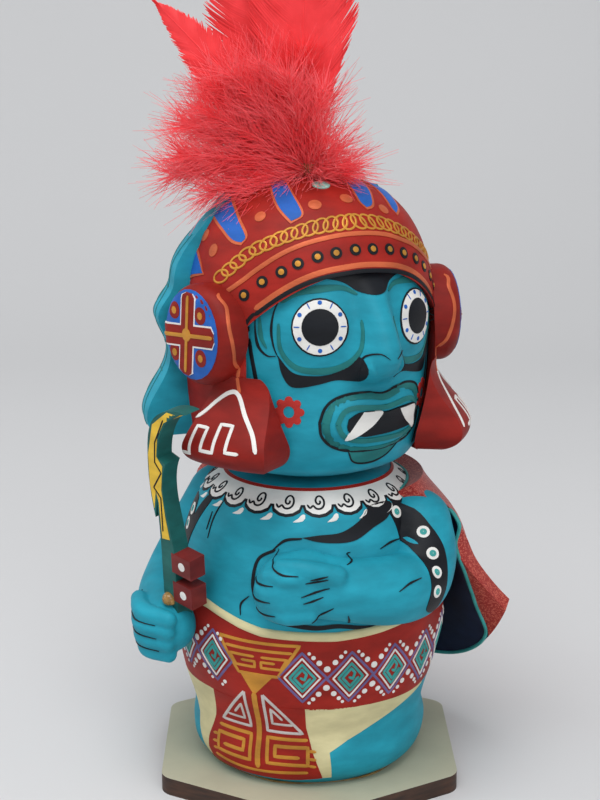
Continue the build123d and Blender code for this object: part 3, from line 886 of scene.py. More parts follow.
def paint_loincloth(canvas, red, cream, gold, silver):
    """The flap at the front with its frets, and the sash ends beside it."""
    left_edge = [(-18.5, 33.9), (-22, 24), (-26, 17), (-28.5, 12), (-27, 9)]
    right_edge = [(36, 9), (35, 11), (31, 18), (28, 26), (27.5, 32.9)]
    cream.patch(canvas, [(-100, 33.5), (-60, 33.6), *left_edge, (-31, 9.0), (-34.5, 11), (-36, 16),
        (-40, 20.5), (-50, 25), (-62, 28), (-80, 30.5), (-100, 32.2)], 1, False)
    cream.patch(canvas, [*right_edge, (60, 32.3), (95, 31.9), (95, 31.2), (80, 28.5), (60, 24), (48, 21),
        (39, 17.8), (40, 12), (40.5, 9.0)], 1, False)
    red.patch(canvas, [*left_edge, (0, 8.2), (18, 8.0), *right_edge], 2, False)
    gold.stroke(canvas, [(-9.5, 54), (25.5, 54), (16.5, 43.6), (-1, 43.6)], 0.95, 2, False, closed=True)
    gold.stroke(canvas, [(-6.6, 51.6), (22.6, 51.6)], 0.9, 2, False)
    for s in (-1, 1):
        m = 8.0
        gold.stroke(canvas, [(m + s * 1.4, 49.4), (m + s * 12.4, 49.4), (m + s * 9.8, 46.0),
            (m + s * 1.4, 46.0), (m + s * 1.4, 47.8), (m + s * 7.4, 47.8)], 0.85, 2, False)
    gold.patch(canvas, [(-0.5, 43.6), (14.5, 43.6), (5.5, 36.6)], 2, False)
    gold.stroke(canvas, [(5.5, 37.5), (4.4, 11.6)], 1.7, 3, False)
    gold.stroke(canvas, [(-22, 11.4), (4, 10.6), (29, 11.4)], 1.0, 3)
    for s, corner, base in ((-1, 0.5, 24.3), (1, 9.3, 24.0)):
        triangle = [(corner, 37.0), (corner, base), (corner + s * 17.0, base)]
        silver.stroke(canvas, triangle, 0.9, 3, False, closed=True)
        silver.stroke(canvas, [(corner + s * 12.6, 26.8), (corner + s * 2.8, 26.8), (corner + s * 2.8, 32.2),
                               (corner + s * 7.8, 28.4)], 0.8, 3, False)
        gold.stroke(canvas, square_spiral(corner + s * 19.5, 21.8, corner, 13.8, 3.8, 2.4, 7), 1.1, 3, False)
        for z in (18.4, 16.0, 13.7):
            gold.stroke(canvas, [(corner + s * 20.0, z), (corner + s * 23.4, z - 0.3)], 0.9, 3, False)


def paint_ruff(canvas, white, black, red):
    """A lace ruff of scallops with curls, and a drop between each two."""
    red.band(canvas, lambda a: 95.5, lambda a: TORSO_TOP - 0.02, layer=3, rows=2, step=3.0)
    white.band(canvas, lambda a: 92.6, lambda a: 95.6, layer=2, rows=4, step=2.0)
    pitch = 360.0 / RUFF_SCALLOPS
    for k in range(RUFF_SCALLOPS):
        c = -17.0 + pitch * k
        edge = [(-0.5, 95.6), (-0.49, 93.4), (-0.4, 91.6), (-0.2, 90.7), (0, 90.4), (0.2, 90.7), (0.4, 91.6),
                (0.49, 93.4), (0.5, 95.6)]
        black.patch(canvas, [(c + x * pitch * 1.07, z - 0.75) for x, z in edge], 1, False, 1.0)
        white.patch(canvas, [(c + x * pitch * 0.96, z) for x, z in edge], 2, False, 1.0)
        curl = spiral(c + 0.4, 93.3, 3.9, 1.8, 1.5, 210.0, 18, 0.12)
        black.stroke(canvas, [(c - 6.2, 92.6), (c - 4.6, 91.9), *curl], 0.58, 3)
        valley = c - pitch / 2
        drop = [(valley + 0.9, 90.4), (valley - 0.6, 89.3), (valley - 4.6, 88.5)]
        white.stroke(canvas, drop, 1.5, 1, True, (1.0, 0.15))


def paint_arms(canvas, black, white, teal):
    """Outlines, muscle lines, painted shade between the chest and the upper arm, and the straps with their
    pearls.
    """
    outline = [(14, 81), (6.5, 78), (5, 72), (6.5, 67.5), (9.5, 64), (14, 61.6), (22, 60.4), (32, 59.4),
        (41, 59.6), (52, 58.4), (66, 57.6), (80, 57.0)]
    black.stroke(canvas, outline, 1.4, 2, True, (0.6, 0.5))
    # Painted shade: black in the crease between the chest and the upper arm, thickening towards the strap,
    # with a thin tapered line leading into it.
    black.patch(canvas, [(26, 84.6), (34, 85.2), (45, 85.6), (56, 88.2), (63, 91.0), (74, 91.4), (78, 90.4),
                         (72, 87.4), (62, 85.6), (52, 83.2), (44, 82.8), (34, 83.4)], 2)
    black.stroke(canvas, [(12, 80.4), (18, 83.6), (26, 84.4)], 0.9, 2, True, (0.3, 0.6))
    black.patch(canvas, [(73, 90.0), (76.0, 84), (75.8, 77), (73.8, 70), (71.8, 63.5), (78, 61.0), (82.0, 66),
                         (84.2, 72), (85.6, 78), (85.6, 84), (84, 90.4)], 2)
    for a, z in ((79.0, 88.0), (82.2, 83.0), (80.6, 77.6), (78.8, 72.8), (76.8, 67.8)):
        white.dot(canvas, a, z, 1.95, 3, 0.95)
        teal.dot(canvas, a, z, 1.05, 4, 0.95)
    for line in (
        [(29.5, 78), (35, 79)],
        [(28, 77), (35, 78)],
        [(26.7, 73), (31, 74.4), (35.7, 75)],
        [(27.4, 71), (33.6, 72.7)],
        [(30, 65), (37, 69)],
        [(42.6, 79.7), (48, 80.2)],
        [(63, 79.7), (70, 80.7), (77, 80.8)],
        [(59, 71.7), (64, 73.1), (70, 73.3)],
        [(44, 61.6), (42, 66)],
        [(8, 75.2), (13, 75), (18, 75.6)],
        [(7.5, 70.6), (12, 70.2), (17, 70.6)],
        [(9.5, 66.4), (14, 66), (18.5, 66.4)],
        [(0.4, 61.3), (0.4, 64.7), (3.9, 67.4)],
        [(15, 81.4), (20, 79.4), (26, 79.2)],
    ):
        black.stroke(canvas, line, 0.7, 2, True, (0.3, 0.3))


def paint_right_arm(canvas, black, white, teal):
    """Shade beside the chest, the strap, and the lines of the fist."""
    black.patch(canvas, [(-39, 90), (-44, 84), (-47, 77), (-47, 70), (-44, 64), (-42, 70), (-41, 77),
        (-37, 84), (-33, 90)], 2)
    black.patch(canvas, [(-58, 88), (-48, 87.5), (-44, 81), (-44, 74), (-52, 73), (-62, 74), (-66, 80),
        (-64, 86)], 2)
    for a, z in ((-50, 84.2), (-51.5, 79.4), (-53, 74.6)):
        white.dot(canvas, a, z, 2.1, 3, 0.95)
        teal.dot(canvas, a, z, 1.1, 4, 0.95)
    for z in (57.4, 53.2, 49.2):
        black.stroke(canvas, [(-42, z + 0.6), (-36, z), (-24, z - 0.4)], 0.6, 2, True, (0.3, 0.3))
    for line in ([(-46, 60.5), (-42, 59.5)], [(-47, 56.8), (-43, 56)], [(-60, 50), (-52, 48)],
            [(-66, 56), (-60, 55)], [(-24, 80), (-25, 86), (-23, 91.5)], [(-27, 82), (-28, 87)]):
        black.stroke(canvas, line, 0.6, 2, True, (0.3, 0.3))


def paint_body():
    torso = Canvas([skins["torso_shell"]])
    whole = Canvas([skins["torso_shell"], skins["left_arm"], skins["right_arm"]], 0.0, 45.0)
    red, cream = body_film("belt_red", BELT_RED), body_film("rope_cream", CREAM)
    white, black = body_film("body_white", WHITE), body_film("body_black_paint_and_shade", BLACK)
    teal, lilac = body_film("body_teal", TEAL), body_film("body_lilac", LILAC)
    gold, silver = body_film("body_gold", GOLD), body_film("body_silver", SILVER)
    paint_belt(torso, red, cream, white, teal, lilac)
    paint_loincloth(torso, red, cream, gold, silver)
    paint_ruff(torso, white, black, red)
    paint_arms(whole, black, white, teal)
    paint_right_arm(whole, black, white, teal)


# ---------------------------------------------------------------- painting the head

def head_film(name, material, slot="pulp_turquoise"):
    return Film(name, material, "head", slot)


def mirrored(points):
    """The same plan points on the other side of the face."""
    return [(2 * FACE_AXIS - a, z) for a, z in points]


def both_sides(points):
    return points, mirrored(points)


def paint_eyes(canvas, black, white, blue, teal):
    """Ringed round eyes with six dots and six ticks, inside painted lids."""
    for s in (-1, 1):
        a, z = FACE_AXIS + s * 26.2, 146.4
        black.dot(canvas, a, z, 8.5, 2)
        white.dot(canvas, a, z, 7.9, 3)
        black.dot(canvas, a, z, 5.2, 4)
        for k in range(6):
            turn = radians(60 * k + 30)
            blue.dot(canvas, a + s * 6.6 * cos(turn) / FACE_MM_PER_DEGREE, z + 6.6 * sin(turn), 0.62, 4)
            turn = radians(60 * k)
            c, d = cos(turn), sin(turn)
            blue.stroke(canvas, [(a + s * 5.7 * c / FACE_MM_PER_DEGREE, z + 5.7 * d),
                (a + s * 7.4 * c / FACE_MM_PER_DEGREE, z + 7.4 * d)], 0.32, 4, False, (), 0.05)
    lid = [(-39, 152.6), (-31, 155.4), (-20, 156.6), (-10, 156.6), (-3.4, 154.8)]
    under = [(-39.6, 147), (-38.6, 139.5), (-31.6, 134.6), (-20, 133.6), (-10.4, 135), (-5, 139),
        (-3.2, 144), (-3, 148)]
    outer = [(-40, 153), (-42, 150), (-43, 145), (-42, 140.5), (-40, 137.4)]
    temple = [(-51.0, 148.5), (-50.5, 143), (-48.9, 139.7), (-45, 137.6), (-41, 137.6)]
    inner_temple = [(-48.6, 148.5), (-48.0, 143), (-45.2, 139.6)]
    patch = [(-40, 137.8), (-33.4, 133.2), (-24.6, 132.2), (-15.7, 132.7), (-8.7, 134.8), (-5, 138),
        (-3.4, 136), (-2.6, 131.2), (-7, 130.6), (-14, 130.8), (-21, 129.8), (-30, 128.8), (-35, 129.4),
        (-38.5, 133)]
    for film, line, width, ends in (
        (teal, lid, 2.2, 0.4),
        (teal, under, 2.1, 0.4),
        (black, outer, 0.8, 0.2),
        (black, temple, 0.9, 0.2),
        (teal, inner_temple, 1.6, 0.3),
    ):
        for points in both_sides(line):
            film.stroke(canvas, points, width, 2, True, (ends, ends))
    for points in both_sides(patch):
        black.patch(canvas, points, 2)
    black.patch(canvas, [(-26, 159.6), (-14, 158.8), (-8, 157.6), (-3, 155.6), (4, 154.6), (11, 155.4),
        (16, 157.4), (23, 158.8), (36, 159.4), (30, 161.2), (20, 162.6), (4, 163.4), (-10, 163.0),
        (-20, 161.8)], 2)


def paint_nose_and_flowers(canvas, black, red):
    """The curl of each nostril, and a small ring of petals on each cheek."""
    for points in both_sides([(3.6, 137.8), (0.4, 139.4), (-3.8, 138.0), (-5.4, 134.4), (-4.2, 130.4)]):
        black.stroke(canvas, points, 0.7, 2, True, (0.2, 0.2))
    z = 121.6
    for a in (-35.2, 2 * FACE_AXIS + 35.2):
        for petal in loop(a, z, 3.5 / FACE_MM_PER_DEGREE, 3.5, 8):
            red.dot(canvas, *petal, 1.15, 2)
        red.stroke(canvas, loop(a, z, 2.7 / FACE_MM_PER_DEGREE, 2.7, 12), 1.9, 2, closed=True)


MOUTH_MIDDLE = (9.8, 118.0)


def paint_mouth(canvas, black, white, teal, lip):
    """Lips with a painted rim, an open mouth, two fangs and a small pendant."""
    rim = [(-20.4, 118.4), (-18.2, 122.4), (-14, 125.0), (-7, 126.3), (2, 126.4), (9, 125.8), (18, 126.6),
        (27, 127), (36, 125.0), (40, 119.6), (38, 114), (31, 110.8), (20, 109.6), (6, 109.2), (-7, 109.8),
        (-15, 111.6), (-19.4, 114.6)]
    black.stroke(canvas, [grown(p, MOUTH_MIDDLE, 1.02) for p in rim], 0.8, 2, closed=True)
    teal.stroke(canvas, [grown(p, MOUTH_MIDDLE, 0.93) for p in rim], 2.3, 2, closed=True)
    inner = [(-14.8, 118.2), (-12, 121.8), (-6, 123.2), (9, 122.6), (24, 123.4), (32, 121.8), (34.8, 118),
        (32, 113.9), (24, 112.5), (9, 112.3), (-5, 112.7), (-12, 114.6)]
    teal.stroke(canvas, [grown(p, MOUTH_MIDDLE, 0.93) for p in inner], 1.5, 3, closed=True)
    mouth = [(-8.4, 119.6), (-4, 121.4), (3, 121.6), (10, 120.8), (20, 121.4), (30, 121.0), (33.8, 118.4),
        (31.6, 115.2), (22, 114.4), (8, 114.1), (-4, 114.4), (-8.6, 116.4)]
    black.patch(canvas, mouth, 5)
    for fang in ([(-1.8, 121.6), (8.0, 121.1), (4.4, 117.4), (-2.6, 114.8), (-9.6, 113.6), (-6.0, 117.2)],
                 [(18.4, 121.0), (30.0, 120.7), (31.4, 117.2), (30.0, 113.7), (24.6, 116.2)]):
        white.patch(canvas, fang, 6)
    drop = [(-6.5, 109.4), (-3.8, 106.2), (2, 105), (10, 105.2), (17, 106.8), (23, 109.6)]
    lip.patch(canvas, [*drop, (16, 109.2), (6, 109.0)], 2)
    black.stroke(canvas, drop, 0.8, 3, True, (0.4, 0.4))


def grown(point, centre, factor):
    return (centre[0] + (point[0] - centre[0]) * factor, centre[1] + (point[1] - centre[1]) * factor)


OPENING_SIDE = [(-50, 149.8), (-54.0, 146), (-53.3, 139), (-51, 131), (-49, 123), (-45.6, 116.7), (-42, 111),
                (-40.6, 107)]
OPENING_TOP = [(-50, 149.8), (-40, 154.6), (-30, 158.2), (-20, 160.4), (-10, 161.4), (0, 161.8), (10, 161.4),
               (20, 160.4), (30, 158.2), (40, 154.6), (50, 149.8)]


DROPS = (
    ([(-36, 46.5), (-45, 52.5), (-55, 60), (-66, 66), (-85, 71), (-105, 74)],
     [(-105, 77), (-85, 76.5), (-62, 73), (-48, 67), (-37, 58.5), (-30.5, 50)]),
    ([(-62, 36), (-68, 36.6), (-80, 41), (-95, 44.5), (-110, 46), (-128, 47)],
     [(-128, 56), (-110, 55), (-95, 54), (-80, 50), (-68, 44), (-60.5, 38.5)]),
    ([(-84, 20.6), (-95, 18.4), (-105, 15), (-122, 13)],
     [(-122, 31), (-104, 30), (-92, 26)]),
    ([(14, 52), (20, 53), (28, 58), (38, 63), (52, 68), (66, 71)],
     [(66, 77), (50, 76), (34, 73.5), (24, 69.5), (17, 63), (12.5, 56)]),
    ([(38, 47), (46, 49), (58, 54), (72, 58)],
     [(72, 66), (58, 63), (46, 57), (38, 50)]),
)


def paint_helmet(canvas, dome, black, gold, copper, blue, mint):
    """Hem, beads, a band of linked rings, and long blue drops up to the crown."""
    copper.stroke(canvas, [(a, z + 1.0) for a, z in OPENING_TOP], 1.5, 1)
    black.stroke(canvas, [(a, z - 0.6) for a, z in OPENING_TOP], 1.2, 1)
    for side in (OPENING_SIDE, [(-a, z) for a, z in OPENING_SIDE]):
        black.stroke(canvas, side, 1.3, 1, True, (0.8, 0.5))
    beads = [(-55.6, 154.4), (-47.3, 158.4), (-38.6, 161.3), (-31.1, 163.6), (-21.9, 165.4),
        (-12.8, 166.3), (-2.8, 166.9), (6.9, 166.7), (17.2, 166.1), (26.8, 164.5), (36.1, 162.2),
        (43.6, 159.3), (51.6, 155.8), (59.0, 152.0)]
    for a, z in beads:
        black.dot(canvas, a, z, 1.7, 2)
        gold.dot(canvas, a, z, 0.85, 4)
    line = [(-66, 154.4), (-57, 158.4), (-50, 161.8), (-40, 165.8), (-30, 168.4), (-20, 169.9), (-9.5, 170.8),
            (0, 171.0), (10, 170.7), (20, 169.7), (29, 167.9), (38, 165.8), (50, 161.4), (60, 157)]
    copper.stroke(canvas, line, 1.3, 2)
    rope = smooth_path([(-70, 158.6), (-63, 162.2), (-55.6, 166.0), (-48, 168.2), (-40, 170.2),
        (-30, 172.0), (-20, 173.2), (-9.5, 173.8), (0, 174.0), (11, 173.6), (20, 172.8), (29, 171.0),
        (36, 169.2), (46, 165.6), (56, 161.6)], 0.5)
    total, spots = 0.0, [rope[0]]
    for p, q in zip(rope, rope[1:]):
        total += hypot((q.x - p.x) * HELMET_MM_PER_DEGREE, q.y - p.y)
        if total >= 3.1:
            spots.append(q)
            total = 0.0
    for p in spots:
        slope = 0.32 if p.x < 0 else -0.32
        ring = [(p.x + x, p.y + y + x * slope * 0.45) for x, y in loop(0, 0, 4.3, 1.75, 14)]
        gold.stroke(canvas, ring, 0.62, 2, True, closed=True)
    for low, high in DROPS:
        copper.patch(dome, widened(low + high, 1.25), 2)
        blue.patch(dome, low + high, 3)
    mint.dot(dome, -12, 69.5, 2.6, 3)
    for a, b, r in ((-22, 55, 1.9), (3, 58, 1.9), (-56, 48, 1.7), (-80, 31, 1.9), (-94, 36, 1.9),
            (28, 50, 1.7)):
        copper.dot(dome, a, b, r, 2)


def widened(points, by):
    """A closed outline moved outwards from its middle line by about this much."""
    n = len(points)
    out = []
    area = sum(points[i][0] * points[(i + 1) % n][1] - points[(i + 1) % n][0] * points[i][1]
        for i in range(n))
    sign = 1.0 if area > 0 else -1.0
    for i, (x, y) in enumerate(points):
        px, py = points[i - 1]
        qx, qy = points[(i + 1) % n]
        dx, dy = qx - px, qy - py
        length = hypot(dx, dy)
        out.append((x + sign * dy / length * by, y - sign * dx / length * by))
    return out


def paint_ear(side, blue, red, gold, white, canvas):
    """The spool over one ear: a cross on a quartered disc."""
    c, z = side * 77.0, 142.5
    s = -side
    blue.dot(canvas, c, z, 13.4, 2)
    for place in loop(c, z, s * 8.6 / EAR_MM_PER_DEGREE, 8.6, 4, 45.0):
        red.dot(canvas, *place, 2.5, 3)
        gold.dot(canvas, *place, 1.1, 4)
    for width, film, layer in ((6.6, white, 3), (5.6, red, 4)):
        film.stroke(canvas, [(c + s * 15.5, z + 0.6), (c - s * 15.5, z - 1.4)], width, layer, False, (), 0.02)
        film.stroke(canvas, [(c - s * 1.4, z - 11.8), (c + s * 1.0, z + 11.8)], width, layer, False, (), 0.02)
    gold.stroke(canvas, [(c + s * 15.0, z + 0.6), (c - s * 15.0, z - 1.4)], 1.1, 6, False)
    gold.stroke(canvas, [(c - s * 1.2, z - 11), (c + s * 0.8, z + 11)], 1.1, 6, False)
    gold.dot(canvas, c - s * 0.2, z - 0.2, 1.9, 6)


def paint_flap(side, white, copper, canvas):
    """A white stepped fret on the flared tongue, and a copper line down the front edge."""
    def to_side(points):
        return [(a if side < 0 else -a, z) for a, z in points]

    copper.stroke(canvas, to_side([(-64.7, 154.8), (-59, 151), (-56, 144.4), (-55.4, 139.4), (-56.8, 134.4),
                                   (-57.7, 130), (-56.3, 126.6)]), 1.1, 1)
    arch = [(-43.5, 112.6), (-46, 117), (-51.5, 121.6), (-57, 126.4), (-61.5, 126.4), (-66.6, 123.7),
        (-71, 120), (-77, 116.6)]
    white.stroke(canvas, to_side(arch), 1.25, 2)
    steps = [(-49.6, 112), (-54.6, 112), (-54.6, 118.6), (-59.6, 118.6), (-59.6, 111.4), (-64.6, 111.4),
             (-64.6, 117.2), (-69.6, 117.2), (-69.6, 109.8), (-74.6, 109.8)]
    white.stroke(canvas, to_side(steps), 1.0, 2, False)


def paint_head():
    face = Canvas([skins["head"]], HEAD_TURN, 37.0)
    cap = Canvas([skins["helmet"], skins["head"]], HEAD_TURN, 38.0)
    dome = Dome([skins["helmet"], skins["head"]], HEAD_TURN, 30.0)
    names = ("helmet", "cheek_flap_right", "cheek_flap_left", "ear_disc_right", "ear_disc_left")
    sides = [skins[name] for name in names]
    ears = Canvas(sides, HEAD_TURN, 45.0)
    white, black = head_film("face_white", WHITE), head_film("face_black", BLACK)
    teal, lip = head_film("face_teal", DEEP_TEAL), head_film("lip_teal", DEEP_TEAL)
    blue, flower = head_film("eye_blue", BLUE), head_film("flower_red", FLOWER_RED)
    paint_eyes(face, black, white, blue, teal)
    paint_nose_and_flowers(face, black, flower)
    paint_mouth(face, black, white, teal, lip)
    cap_black = head_film("helmet_black", BLACK, "pulp_red")
    cap_gold = head_film("helmet_gold", GOLD, "pulp_red")
    copper = head_film("helmet_copper", COPPER, "pulp_red")
    cap_blue = head_film("helmet_blue", BLUE, "pulp_red")
    mint = head_film("helmet_mint", MINT, "pulp_red")
    paint_helmet(cap, dome, cap_black, cap_gold, copper, cap_blue, mint)
    # The red marks on the ear discs use the helmet red darkened as painted shade.
    ear_blue, ear_red = head_film("ear_blue", BLUE, "pulp_red"), head_film("ear_red", SHADED_FLAP_RED, "pulp_red")
    ear_gold, ear_white = head_film("ear_gold", GOLD, "pulp_red"), head_film("ear_white", WHITE, "pulp_red")
    for side in (-1, 1):
        paint_ear(side, ear_blue, ear_red, ear_gold, ear_white, ears)
        paint_flap(side, ear_white, copper, ears)


def paint_sceptre():
    """The yellow face with its dark zigzags, and the two lugs with a pale spot each."""
    foot = around(-25.9, 46.9, 63.2)
    up = around(22.5, tan(radians(11.0)), 1.0).normalized()
    face = around(74.0, 1.0).cross(up).normalized()
    across = up.cross(face)
    board = Flat([skins["sceptre"]], foot, across, up)
    back = Flat([skins["sceptre"]], foot, -across, up)
    skins["sceptre"].data.materials.append(LUG_RED)
    for side in skins["sceptre"].data.polygons:
        reach = side.center / MM - foot
        if reach.dot(across) > 3.2 and reach.dot(up) < 18.0:
            side.material_index = 1
    yellow = Film("sceptre_yellow", YELLOW, "figure", "sceptre_mdf")
    dark = Film("sceptre_lines", BLACK, "figure", "sceptre_mdf")
    lugs = Film("sceptre_lugs", LUG_RED, "figure", "sceptre_mdf")
    pale = Film("sceptre_spots", WHITE, "figure", "sceptre_mdf")
    h, half = 64.0, 2.8
    blade = [(-0.7 * half, 0.32 * h), (0.45 * half, 0.33 * h), (-0.05 * half, 0.44 * h),
        (-0.4 * half, 0.57 * h), (0.0, 0.695 * h), (-0.85 * half, 0.73 * h), (-0.5 * half, 0.83 * h),
        (0.6 * half, 0.915 * h), (2.8 * half, 0.98 * h), (1.2 * half, 0.975 * h),
        (-1.15 * half, 0.885 * h), (-2.08 * half, 0.725 * h), (-2.12 * half, 0.58 * h),
        (-1.66 * half, 0.46 * h), (-1.25 * half, 0.56 * h), (-0.9 * half, 0.50 * h)]
    yellow.patch(board, blade, 1, False, 1.0)
    dark.stroke(board, [(0.6 * half, 0.93 * h), (-0.9 * half, 0.80 * h), (-1.1 * half, 0.70 * h),
        (-0.2 * half, 0.66 * h), (-1.5 * half, 0.57 * h), (-0.5 * half, 0.53 * h),
        (-0.5 * half, 0.36 * h)], 0.45, 2, False)
    for low, high in ((0.013, 0.121), (0.166, 0.268)):
        x0, x1, z0, z1 = half * 0.55, half + 6.7, low * h + 0.1, high * h - 0.1
        lugs.patch(board, [(x0, z0), (x1, z0), (x1, z1), (x0, z1)], 1, False)
        lugs.patch(back, [(-x1, z0), (-x0, z0), (-x0, z1), (-x1, z1)], 1, False)
        pale.dot(board, half + 3.0, (z0 + z1) / 2, 1.35, 2)


def paint_hair():
    """Waved darker lines down and across the hair at the back, painted shade for the grooves between the
    locks.
    """
    mass = Canvas([skins["hair_back"]], HEAD_TURN, 43.0)
    lines = head_film("hair_groove_shade", DEEP_TEAL)
    # Painted shade: darker lines down the hair, where the grooves between the locks fall in shade.
    for k in range(17):
        a = 104.0 + 9.5 * k
        wave = [(a + 2.4 * sin(z * 0.21 + k), z) for z in range(112, 170, 4)]
        lines.stroke(mass, wave, 0.8, 1, True, (0.3, 0.3), 0.10)
    # Painted shade: darker lines across the hair as well.
    for z in (135.6, 127.0, 152.0):
        wave = [(a, z + 0.6 * sin(a * 0.13)) for a in range(100, 262, 6)]
        lines.stroke(mass, wave, 1.0, 1, True, (0.4, 0.4))


paint_body()
paint_head()
paint_sceptre()
paint_hair()


# ---------------------------------------------------------------- plume

PLUME_ROOT = Vector((0, 0, top_of("plume_plug") - 2.2))


def from_plume(points):
    """Points in the plume's own frame, across, deep and up, placed on the crown."""
    turn = np.array(Matrix.Rotation(radians(PLUME_FACING), 3, "Z"))
    return np.asarray(points) @ turn.T + np.array(PLUME_ROOT)


def unit(vectors):
    return vectors / np.maximum(np.linalg.norm(vectors, axis=-1, keepdims=True), 1e-9)


def tubes(paths, radii, wide=None, thin=1.0, sides=3):
    """Closed thin tubes along many paths, shaped (tube, point, axis); wide is the normal of flat tubes."""
    n, k, _ = paths.shape
    along = unit(np.gradient(paths, axis=1))
    across = rng.normal(size=(n, 1, 3)) if wide is None else np.broadcast_to(np.array(wide), (n, 1, 3))
    side = unit(np.cross(along, across))
    other = np.cross(along, side) * thin
    turn = 2 * pi * np.arange(sides) / sides
    ring = np.cos(turn)[:, None] * side[:, :, None, :] + np.sin(turn)[:, None] * other[:, :, None, :]
    verts = (paths[:, :, None, :] + radii[:, :, None, None] * ring).reshape(-1, 3)
    base = (np.arange(n)[:, None, None] * k + np.arange(k - 1)[None, :, None]) * sides
    i, j = np.arange(sides), (np.arange(sides) + 1) % sides
    quads = np.stack([base + i, base + j, base + sides + j, base + sides + i], axis=-1).reshape(-1, 4)
    first = np.arange(n)[:, None] * k * sides
    caps = np.concatenate([first + i[::-1], first + (k - 1) * sides + i])
    return verts, quads.tolist() + caps.tolist()


def leaf_half_width(t, width, pointed):
    """Half the vane's width at a share t of its length."""
    tip_share, fullness = (0.75, 0.8) if pointed else (0.42, 0.55)
    low = min(1.0, (t / 0.35) ** 0.75)
    high = max(0.0, (1 - t) / tip_share)
    return width / 2 * low * min(1.0, high**fullness)


def vane_piece(node, length, width, lean, depth, bow, pointed=False, fluff=500):
    """A flat feather: a curved shaft with rows of close barbs, ragged at the edge and downy at the foot."""
    film = Film(node + "_barbs", FEATHER, "head", "feather", node)
    bare, tilt = 9.0, radians(lean)
    out = np.array([sin(tilt), 0.0, cos(tilt)])
    right = np.array([cos(tilt), 0.0, -sin(tilt)])

    def shaft(s):
        t = s / length
        return out * s + right * (bow * t * t) + np.array([0.0, depth - 2.0 * t * t, 0.0])

    spine = np.array([[shaft(s) for s in np.linspace(-1.8, length * 0.97, 26)]])
    verts, faces = tubes(from_plume(spine), np.linspace(0.75, 0.12, 26)[None, :], sides=6)
    film.add(verts.tolist(), faces)
    barbs = []
    for s in np.arange(bare, length * 0.985, 0.42):
        t = (s - bare) / (length - bare)
        start = shaft(s)
        for way in (-1, 1):
            reach = leaf_half_width(min(1.0, t + 0.06), width, pointed) * rng.uniform(0.9, 1.03)
            rise = reach * rng.uniform(0.85, 1.05) + 1.5
            rise = min(rise, length * 1.01 - s)
            bend = np.linspace(0, 1, 7)[:, None]
            wave = 0.5 * np.sin(s * 0.9 + way) * bend**2
            path = start + right * way * reach * bend**0.85 + out * rise * bend**1.25
            barbs.append(path + np.array([0.0, 1.0, 0.0]) * (wave + 0.9 * bend**2 * way))
    barbs = np.array(barbs)
    verts, faces = tubes(from_plume(barbs), np.array([0.42, 0.44, 0.42, 0.38, 0.32, 0.24, 0.08])[None, :]
                         * np.ones((len(barbs), 1)), wide=from_plume([[0, 1, 0]])[0] - np.array(PLUME_ROOT),
                         thin=0.28, sides=4)
    film.add(verts.tolist(), faces)
    add_fluff(film, [(lean, length * 0.5, 0.0)], depth, fluff, 9.0)


def add_fluff(film, quills, depth, count, hair):
    """Fine wavy strands along soft quills; each quill is (lean, length, how far it runs out in depth)."""
    share = count // len(quills)
    steps = 7
    bend = np.linspace(0, 1, steps)[None, :, None]
    for lean, length, deep in quills:
        tilt = radians(lean)
        out = unit(np.array([sin(tilt), deep / length, cos(tilt)]))
        s = length * rng.uniform(0.0, 1.0, share) ** 0.8
        droop = -0.10 * abs(sin(tilt)) * s**2 / length
        start = out[None, :] * s[:, None] + np.array([0.0, depth, 0.0])
        start += np.array([0.0, 0.0, 1.0]) * droop[:, None]
        spray = rng.normal(size=(share, 3))
        spray -= (spray @ out)[:, None] * out * 0.9
        way = unit(unit(spray) + out * rng.uniform(0.35, 1.3, (share, 1)))
        reach = hair * rng.uniform(0.45, 1.15, (share, 1, 1)) * (1.15 - 0.35 * (s / length))[:, None, None]
        curl = unit(rng.normal(size=(share, 1, 3))) * reach * 0.32
        lean_out = out[None, None, :] * reach * 0.35
        paths = start[:, None, :] + way[:, None, :] * reach * bend + (curl + lean_out) * bend**2
        radii = np.linspace(0.12, 0.035, steps)[None, :] * rng.uniform(0.8, 1.2, (share, 1))
        verts, faces = tubes(from_plume(paths), radii)
        film.add(verts.tolist(), faces)
        spine = out[None, :] * np.linspace(-1.0, length, 14)[:, None] + np.array([0.0, depth, 0.0])
        spine[:, 2] -= 0.10 * abs(sin(tilt)) * np.linspace(0, length, 14) ** 2 / length
        verts, faces = tubes(from_plume(spine[None]), np.linspace(0.4, 0.08, 14)[None, :], sides=5)
        film.add(verts.tolist(), faces)


def down_piece(node, quills, depth, count, hair):
    film = Film(node + "_strands", DOWN, "head", "feather", node)
    add_fluff(film, quills, depth, count, hair)


vane_piece("feather_tall", 67.2, 32.0, -3.0, 0.0, 2.0, fluff=900)
vane_piece("feather_side", 66.0, 21.0, -40.0, -3.0, -3.0, pointed=True, fluff=500)
vane_piece("feather_middle", 62.0, 28.0, -19.0, 3.0, -2.0, fluff=700)
down_piece("down_front_right", [(-96, 30, -10), (-86, 40, -6), (-76, 38, -11), (-64, 40, -7), (-54, 38, -10),
                                (-44, 40, -6), (-34, 38, -9), (-22, 36, -6), (-10, 30, -9), (-108, 20, -14),
                                (-125, 10, -10), (120, 8, -10)], -3.0, 5000, 12.0)
down_piece("down_back_right", [(-84, 38, 6), (-66, 40, 8), (-50, 40, 6), (-32, 38, 8)], 3.0, 3600, 12.0)
down_piece("down_front_left", [(88, 14, -6), (66, 12, -7), (34, 14, -7), (12, 26, -8)], -3.0, 560, 12.0)
down_piece("down_back_left", [(84, 14, 6), (50, 12, 8), (16, 24, 7)], 3.0, 360, 11.0)

for film in Film.made:
    film.piece()


# ---------------------------------------------------------------- stage, light and camera

VIEW_HEADING = 28.92


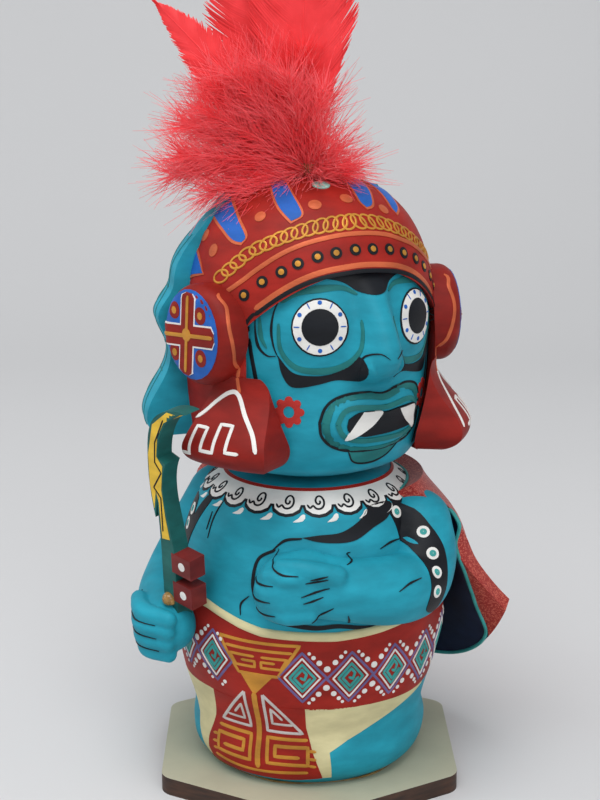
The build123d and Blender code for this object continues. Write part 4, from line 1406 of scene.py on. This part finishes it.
def stage_set():
    """A pale floor that curves up into the backdrop, and soft boxes above and beside."""
    profile = [(-7.0, 0.0), (0.55, 0.0)]
    curve = [radians(t) for t in range(5, 91, 5)]
    profile += [(0.55 + 0.5 * sin(t), 0.5 - 0.5 * cos(t)) for t in curve] + [(1.05, 2.2)]
    turn = Matrix.Rotation(radians(VIEW_HEADING), 3, "Z")
    verts = [turn @ Vector((x, y, z)) for y, z in profile for x in (-7.0, 7.0)]
    faces = [(2 * i, 2 * i + 1, 2 * i + 3, 2 * i + 2) for i in range(len(profile) - 1)]
    pale = (212, 212, 213)
    paper = two_tone("stage_paper", shade(pale, 0.99), pale, 3.0, 2.0, places=(0.2, 0.8),
                     Roughness=0.9, Specular_IOR_Level=0.1)
    floor = add_mesh("stage_floor", [v / MM for v in verts], faces, paper)
    for name, place, size, power in (
        ("light_top", (0.10, -0.45, 1.15), 0.9, 8.4),
        ("light_left", (-0.95, -0.55, 0.75), 0.8, 2.6),
        ("light_right", (0.95, -0.75, 0.65), 0.8, 3.2),
    ):
        data = bpy.data.lights.new(name, "AREA")
        data.shape, data.size, data.energy = "DISK", size, power
        lamp = bpy.data.objects.new(name, data)
        lamp.location = place
        lamp.rotation_mode = "QUATERNION"
        lamp.rotation_quaternion = (Vector((0, 0, 0.13)) - Vector(place)).to_track_quat("-Z", "Y")
        bpy.context.scene.collection.objects.link(lamp)
    world = bpy.data.worlds.new("stage_air")
    world.use_nodes = True
    world.node_tree.nodes["Background"].inputs["Color"].default_value = (0.96, 0.98, 1.0, 1.0)
    world.node_tree.nodes["Background"].inputs["Strength"].default_value = 0.55
    bpy.context.scene.world = world
    bpy.context.scene.view_settings.view_transform = "Standard"


def camera():
    """A long lens, above and to the figure's left of its front."""
    data = bpy.data.cameras.new("camera")
    data.lens, data.sensor_width = 73.76, 36.0
    data.clip_start, data.clip_end = 0.01, 20.0
    obj = bpy.data.objects.new("camera", data)
    bpy.context.scene.collection.objects.link(obj)
    heading, pitch, yaw = radians(VIEW_HEADING), radians(14.217), radians(0.315)
    flat = Matrix.Rotation(yaw, 3, "Z") @ Vector((-sin(heading), cos(heading), 0.0))
    forward = flat * cos(pitch) - Vector((0, 0, sin(pitch)))
    right = Vector((flat.y, -flat.x, 0.0))
    up = right.cross(forward)
    basis = Matrix((right, up, -forward)).transposed().to_4x4()
    basis.translation = Vector((232.2, -420.2, 238.0)) * MM
    obj.matrix_world = basis
    bpy.context.scene.camera = obj


stage_set()
camera()
